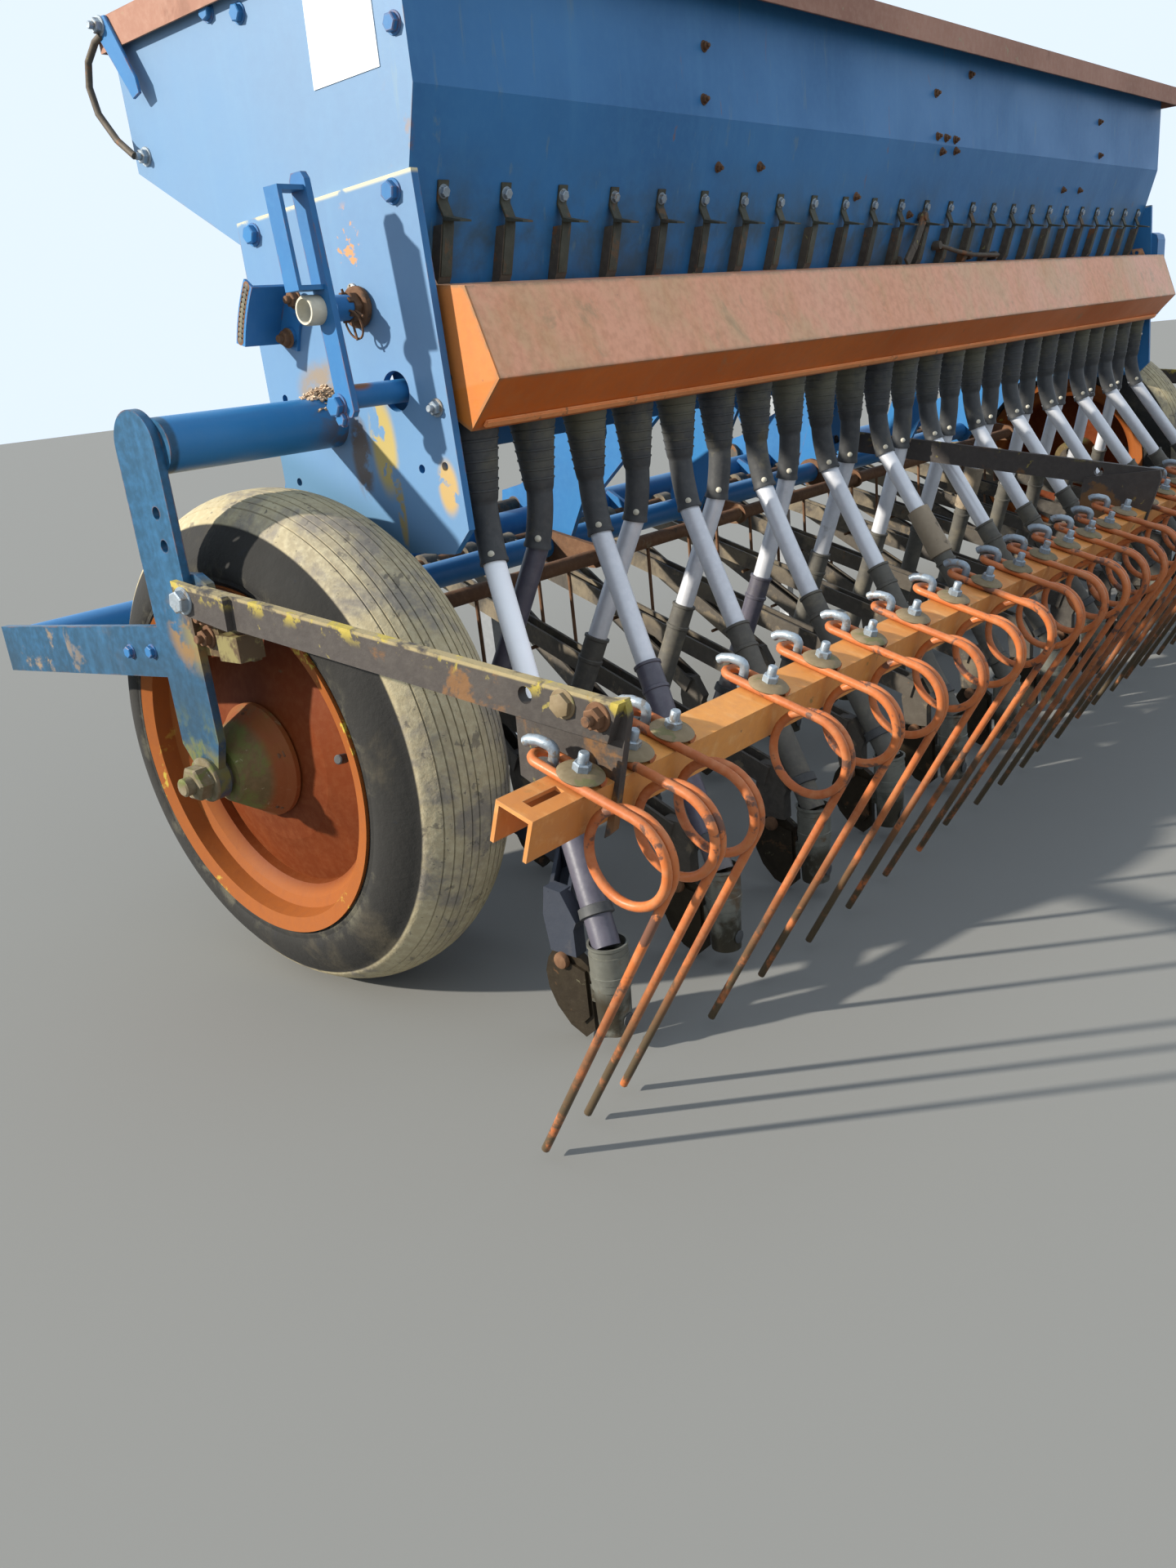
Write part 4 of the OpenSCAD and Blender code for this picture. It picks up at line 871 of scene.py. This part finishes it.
def addLeverTrim(t):
    west = (-1, 0, 0)
    _, y, z = t["spindle"]
    spindle = Shape()
    spindle.lathe([(0, 0), (22.5, 0), (22.5, 6), (20, 8), (0, 8)], mm(*t["spindle"]), west, 28)
    spindle.lathe([(0, 8), (17, 8), (17, 18), (0, 18)], mm(*t["spindle"]), west, 6)
    for k in range(6):
        angle = k * pi / 3
        crest = mm(t["castleX"], y + t["castleR"] * sin(-angle), z + t["castleR"] * cos(angle))
        spindle.block((7, 6, 8), Matrix.Translation(crest) @ Matrix.Rotation(angle, 4, "X"))
    dress(spindle.build("castleNut", bevel=0.6), "rustyIron")
    ring = Shape()
    ring.lathe([(12, 0), (15.5, 0), (15.5, 17), (14.2, 19), (12, 19)], mm(*t["ring"]), west, 28, closed=True)
    dress(ring.build("leverRing"), "creamPlastic")
    wires = []
    base = mm(t["pinX"], y, z)
    for turn, long in t["pins"]:
        aim = Vector((-0.15, cos(turn), sin(turn)))
        wires.append([(base + aim * (u * long) / 1000 + Vector((0, 0, -0.004 * u * u)), t["pinR"])
                      for u in (0.3, 0.55, 0.8, 1.0)])
    loop = [mm(-1284 - 4 * sin(a), 88 + 13 * cos(a), 806 + 15 * sin(a))
            for a in (2 * pi * k / 20 for k in range(20))]
    wires.append([(p, t["loopR"]) for p in loop + loop[:1]])
    pipeAlong("pinWires", wires, "rustyIron", sides=8)
    clamps = [(mm(*place), west, size) for *place, size in t["clamps"]]
    repeatPart("leverBolt", boltHead, clamps, "bluePaint")
    screw = Shape()
    screw.lathe([(0, 0), (9, 0), (9, 2.4), (7, 4), (0, 4.4)], mm(*t["screw"]), west, 24)
    dress(screw.build("slottedScrew"), "zincBolt")
    # the screw's slot: a thin black block laid on the head as painted shade
    slot = Shape()
    slot.block((1.0, 1.8, 15), Matrix.Translation(mm(t["slotX"], *t["screw"][1:])))
    dress(slot.build("screwSlot"), "blackRubber")
    holes = []
    for k in range(t["holes"]):
        angle = radians(t["firstHole"] + k * t["holeStep"])
        x, y, z = t["band"]
        holes.append((mm(x, y + t["bandR"] * cos(angle), z + t["bandR"] * sin(angle)), west))
    discs("quadrantWear", holes, 6.0, 0.25, "rustyIron")
    # black discs on the band: painted shade of the holes, which are not cut
    discs("quadrantHoles", holes, 3.3, 0.5, "blackRubber")
    plate = Shape()
    plate.plate(t["plate"], t["plateX"], t["plateX"] - 1.0)
    dress(plate.build("blankPlate"), "palePlate")
    print("lever trim: done")


# clips and slides: Y off the wall and Z, with the height at which the wall is taken where that differs
shutter = {"clip": ((0, 942), (-2.4, 942), (-2.6, 922), (-14, 905), (-15, 846), (-12.6, 846),
                    (-11.4, 904, 905), (0, 922)), "clipHalf": 8,
           "slide": ((-13, 898), (-14, 846), (-5, 818), (0, 818), (0, 898)), "slideX": (-10, 9.4),
           "hookY": -24, "hookHalf": 9, "boltZ": 931, "boltOut": 2.4}


def offWall(points):
    return [(wallY(p[-1]) + p[0], p[1]) for p in points]


def addShutters(t):
    clip, slide = Shape(), Shape()
    hook = offWall([(-13, 906)]) + [(t["hookY"], 899), (t["hookY"], 897)] + offWall([(-12, 901.5, 902)])
    for i in range(seedPath["count"]):
        x = outletX(i)
        clip.plate(offWall(t["clip"]), x - t["clipHalf"], x + t["clipHalf"])
        clip.plate(hook, x - t["hookHalf"], x + t["hookHalf"])
        slide.plate(offWall(t["slide"]), x + t["slideX"][0], x + t["slideX"][1])
    dress(clip.build("shutterClips", bevel=0.3), "shutterOlive", replaces=("shutters",))
    dress(slide.build("shutterSlides"), "darkSteel", replaces=("shutters",))
    heads = [(mm(outletX(i), wallY(t["boltZ"]) - t["boltOut"], t["boltZ"]), wall["slope"], 0.62)
             for i in range(seedPath["count"])]
    repeatPart("shutterBolts", boltHead, heads, "zincBolt", twist=3.0)
    print("shutters:", len(heads))


coverTrim = {"bead": (2454, 5, 9), "beadPlace": (0, -41.6, 687.4), "beadTurn": 45, "hole": (-8.5, 739.5),
             "holeR": 4.5, "endX": 1241}


def addCoverTrim(t):
    bead = Shape()
    turn = Matrix.Rotation(radians(t["beadTurn"]), 4, "X")
    bead.block(t["bead"], Matrix.Translation(mm(*t["beadPlace"])) @ turn)
    dress(bead.build("coverBead", bevel=1.2), "beadPaint", "rear_cover")
    # the end holes: black discs as painted shade, the holes are not cut
    holes = [(mm(side * t["endX"], *t["hole"]), (side, 0, 0)) for side in (-1, 1)]
    discs("coverHoles", holes, t["holeR"], 0.4, "blackRubber", "rear_cover")
    print("cover trim: done")


# the shutters' linkage on the rear wall: pins are places in X and Z
linkage = {"lever": ((-15, 2, 915), (-55, 2, 869), (-78, 4, 845)), "bar": (18, 5), "overlap": 14,
           "rod": ((72, 14, 869), (150, 14, 858), (224, 14, 851), (348, 14, 849)), "rodR": 4.0,
           "pins": ((-15, 915), (72, 869), (348, 849), (224, 851), (-78, 845)), "pinR": 8.0, "pinLong": 15}


def addLinkage(t):
    pipeAlong("linkRod", [[(mm(*p), t["rodR"]) for p in t["rod"]]], "darkSteel", sides=10)
    lever = [mm(*p) for p in t["lever"]]
    shape = Shape()
    for a, b in zip(lever, lever[1:]):
        aim = (b - a).normalized()
        turn = Matrix((aim.cross(Vector((0, 1, 0))), (0, 1, 0), aim)).transposed().to_4x4()
        turn.translation = (a + b) / 2
        shape.block((*t["bar"], (b - a).length * 1000 + t["overlap"]), turn)
    dress(shape.build("linkLever", bevel=0.8), "darkSteel")
    pins = [(mm(x, wallY(z), z), wall["upright"]) for x, z in t["pins"]]
    discs("linkPins", pins, t["pinR"], t["pinLong"], "darkSteel", rise=1.5)
    print("linkage: done")


# the flat link and the bent rod at each end of the lid, in Y and Z
lidTrim = {"inX": 1262.3, "outX": 1266.5, "wallX": 1250, "rodR": 4.5,
           "upper": (503, 1190), "lower": (484, 1042),
           "link": [(448, 1124), (446, 1106), (462, 1102), (478, 1128), (512, 1180), (516, 1201), (489, 1199),
                    (472, 1168)],
           "rod": ((503, 1180), (520, 1176), (545, 1159), (555, 1133), (547, 1101), (516, 1065), (484, 1042))}


def addLidTrim(t):
    strap, rods = Shape(), []
    for side in (-1, 1):
        strap.plate(t["link"], side * t["inX"], side * t["outX"])
        rods.append([(mm(side * t["outX"], *p), t["rodR"]) for p in t["rod"]])
    dress(strap.build("lidLinks", bevel=0.6), "bluePaint")
    pipeAlong("lidRods", rods, "darkSteel", sides=10)
    ends = ((t["outX"], t["upper"]), (t["wallX"], t["lower"]))
    heads = [(mm(side * x, *p), (side, 0, 0), 0.9) for x, p in ends for side in (-1, 1)]
    repeatPart("lidLinkBolts", nutHead, heads, "zincBolt", twist=3.0)
    print("lid trim: done")


wheelTrim = {"valve": (1404, 62, 336), "lean": (-0.28, 0.22), "studs": 5, "studX": 1442, "studR": 61,
             "firstStud": 20, "axleX": 1517,
             "valveShape": ((0, 8), (6, 8), (7, 4.6), (20, 4.6), (21, 5.8), (33, 5.8), (34, 4.4))}


def addWheelTrim(w, t):
    x, y, z = t["valve"]
    for name, sign in (("left", -1), ("right", 1)):
        valve = [(mm(sign * (x + k), y + k * t["lean"][0], z + k * t["lean"][1]), r)
                 for k, r in t["valveShape"]]
        pipeAlong("valve" + name.title(), [valve], "blackRubber", "wheel_" + name, sides=14,
                  sharp=35)
        studs = []
        for k in range(t["studs"]):
            angle = radians(360 // t["studs"] * k + t["firstStud"])
            centre = mm(sign * t["studX"], w["y"] + t["studR"] * cos(angle), w["z"] + t["studR"] * sin(angle))
            studs.append((centre, (sign, 0, 0), 0.72))
        repeatPart("wheelNuts" + name.title(), nutHead, studs, "rustyIron", "wheel_" + name,
                   twist=3.0)
    ends = [(mm(sign * t["axleX"], w["y"], w["z"]), (sign, 0, 0), 1.25) for sign in (-1, 1)]
    repeatPart("axleNuts", bigNut, ends, "mossyIron")
    print("wheel trim: done")


harrowTrim = {"head": (1518, (1.12, 1.12, 0.8), ((-381, 481),)), "nut": (1518, 1.0, ((-418, 474),)),
              "leg": ((-16, 5), (-33, 5), (-34, 4))}


def addHarrowTrim(h, t):
    repeatPart("armHeads", boltHead, endSpots((t["head"],)), "oliveWasher", "harrow", twist=3.0)
    repeatPart("armNuts", nutHead, endSpots((t["nut"],)), "rustyIron", "harrow", twist=3.0)
    legs = [[(onBar(x + 1, h["studAt"], s), r) for s, r in t["leg"]] for x in tineXs]
    pipeAlong("clampLegs", legs, "zincBolt", "harrow", sides=10)
    print("harrow trim: done")


# band: height and radius; bolt and hole: place from the boot's middle and height; the hole is a black disc of
# painted shade
coulterTrim = {"band": ((98, 21.6), (98.5, 23.2), (106, 23.6), (106.5, 22.6), (131, 22.9), (131.5, 21.5)),
               "bolt": (-9, 62, 108), "boltR": 10, "hole": (0, -19.6, 50), "holeR": 8.5, "rearShift": 5}


def addCoulterTrim(t):
    bands, rings, holes = [], [], []
    for i in range(seedPath["count"]):
        x, y = coulterX(i), seedPath["tipY"] - 44 + rowY(i) - (0 if i % 2 else t["rearShift"])
        bands.append([(mm(x, y, z), r) for z, r in t["band"]])
        rings.append((mm(x + t["bolt"][0], y + t["bolt"][1], t["bolt"][2]), (-1, 0, 0)))
        holes.append((mm(x, y + t["hole"][1], t["hole"][2]), (0, -1, -0.04)))
    pipeAlong("bootBands", bands, "bootZinc", sides=28, sharp=35)
    discs("shareBolts", rings, t["boltR"], 6, "rustyIron", rise=3)
    # black discs on the boots: painted shade of the holes, which are not cut
    discs("bootHoles", holes, t["holeR"], 1.4, "blackRubber")
    print("coulter trim:", len(bands))


# flakes lying on the wheel arm's tube, next to the side plate
chaffHeap = {"tries": 420, "flake": (6.5, 3.2, 1.4), "long": 15, "wide": 16, "middle": 4, "maxLong": 44,
             "maxWide": 28, "tube": (-1261, 185, 703), "tubeR": 30.6, "pile": 13}


def addChaff(c):
    luck = random.Random(8)
    flake = Shape()
    flake.block(c["flake"], Matrix.Identity(4))
    part = flake.loose("flakePart")
    x, y, z = c["tube"]
    spots = []
    for _ in range(c["tries"]):
        along = abs(luck.gauss(0, c["long"]))
        side = luck.gauss(c["middle"], c["wide"])
        if abs(side) > c["maxWide"] or along > c["maxLong"]:
            continue
        pile = c["pile"] * max(0, 1 - along / 40) * max(0, 1 - abs(side - c["middle"]) / 30)
        height = z + sqrt(max(0, c["tubeR"] ** 2 - side ** 2)) + luck.uniform(0, 1) * pile
        turn = Euler((luck.uniform(-0.7, 0.7), luck.uniform(-0.7, 0.7), luck.uniform(0, 6.3)))
        spots.append((mm(x - along, y + side, height), turn, luck.uniform(0.6, 1.2)))
    repeatPart("chaffHeap", part, spots, "chaff")
    print("chaff:", len(spots))


addFunnels(funnel)
addTubes(tube)
addTines(harrow)
addTyres(wheel)
addFastenings(fastening)
addLeverTrim(leverTrim)
addShutters(shutter)
addCoverTrim(coverTrim)
addLinkage(linkage)
addLidTrim(lidTrim)
addWheelTrim(wheel, wheelTrim)
addHarrowTrim(harrow, harrowTrim)
addCoulterTrim(coulterTrim)
addChaff(chaffHeap)


stage = {"floor": (0.19, 0.19, 0.18, 1), "sky": (0.76, 0.87, 1.0, 1), "skyPower": 1.08, "sunPower": 7.2,
         "sunColour": (1.0, 0.94, 0.84), "sunWay": (0.73, -0.50, -0.47), "sunWidth": 1.6}


def addStage(s):
    bpy.ops.mesh.primitive_plane_add(size=60, location=(0, 0, 0))
    floor = bpy.context.object
    floor.name = "paleFloor"
    material = bpy.data.materials.new("paleFloor")
    material.use_nodes = True
    shader = material.node_tree.nodes["Principled BSDF"].inputs
    shader["Base Color"].default_value = s["floor"]
    shader["Roughness"].default_value = 0.95
    shader["Specular IOR Level"].default_value = 0.1
    floor.data.materials.append(material)
    world = bpy.data.worlds.new("softSky")
    bpy.context.scene.world = world
    world.use_nodes = True
    sky = world.node_tree.nodes["Background"].inputs
    sky[0].default_value = s["sky"]
    sky[1].default_value = s["skyPower"]
    data = bpy.data.lights.new("sun", "SUN")
    data.angle = radians(s["sunWidth"])
    data.energy = s["sunPower"]
    data.color = s["sunColour"]
    sun = bpy.data.objects.new("sun", data)
    sun.rotation_euler = Vector(s["sunWay"]).to_track_quat("-Z", "Y").to_euler()
    bpy.context.collection.objects.link(sun)
    bpy.context.scene.view_settings.view_transform = "Standard"


addStage(stage)
for part in sources:
    bpy.data.objects.remove(part)
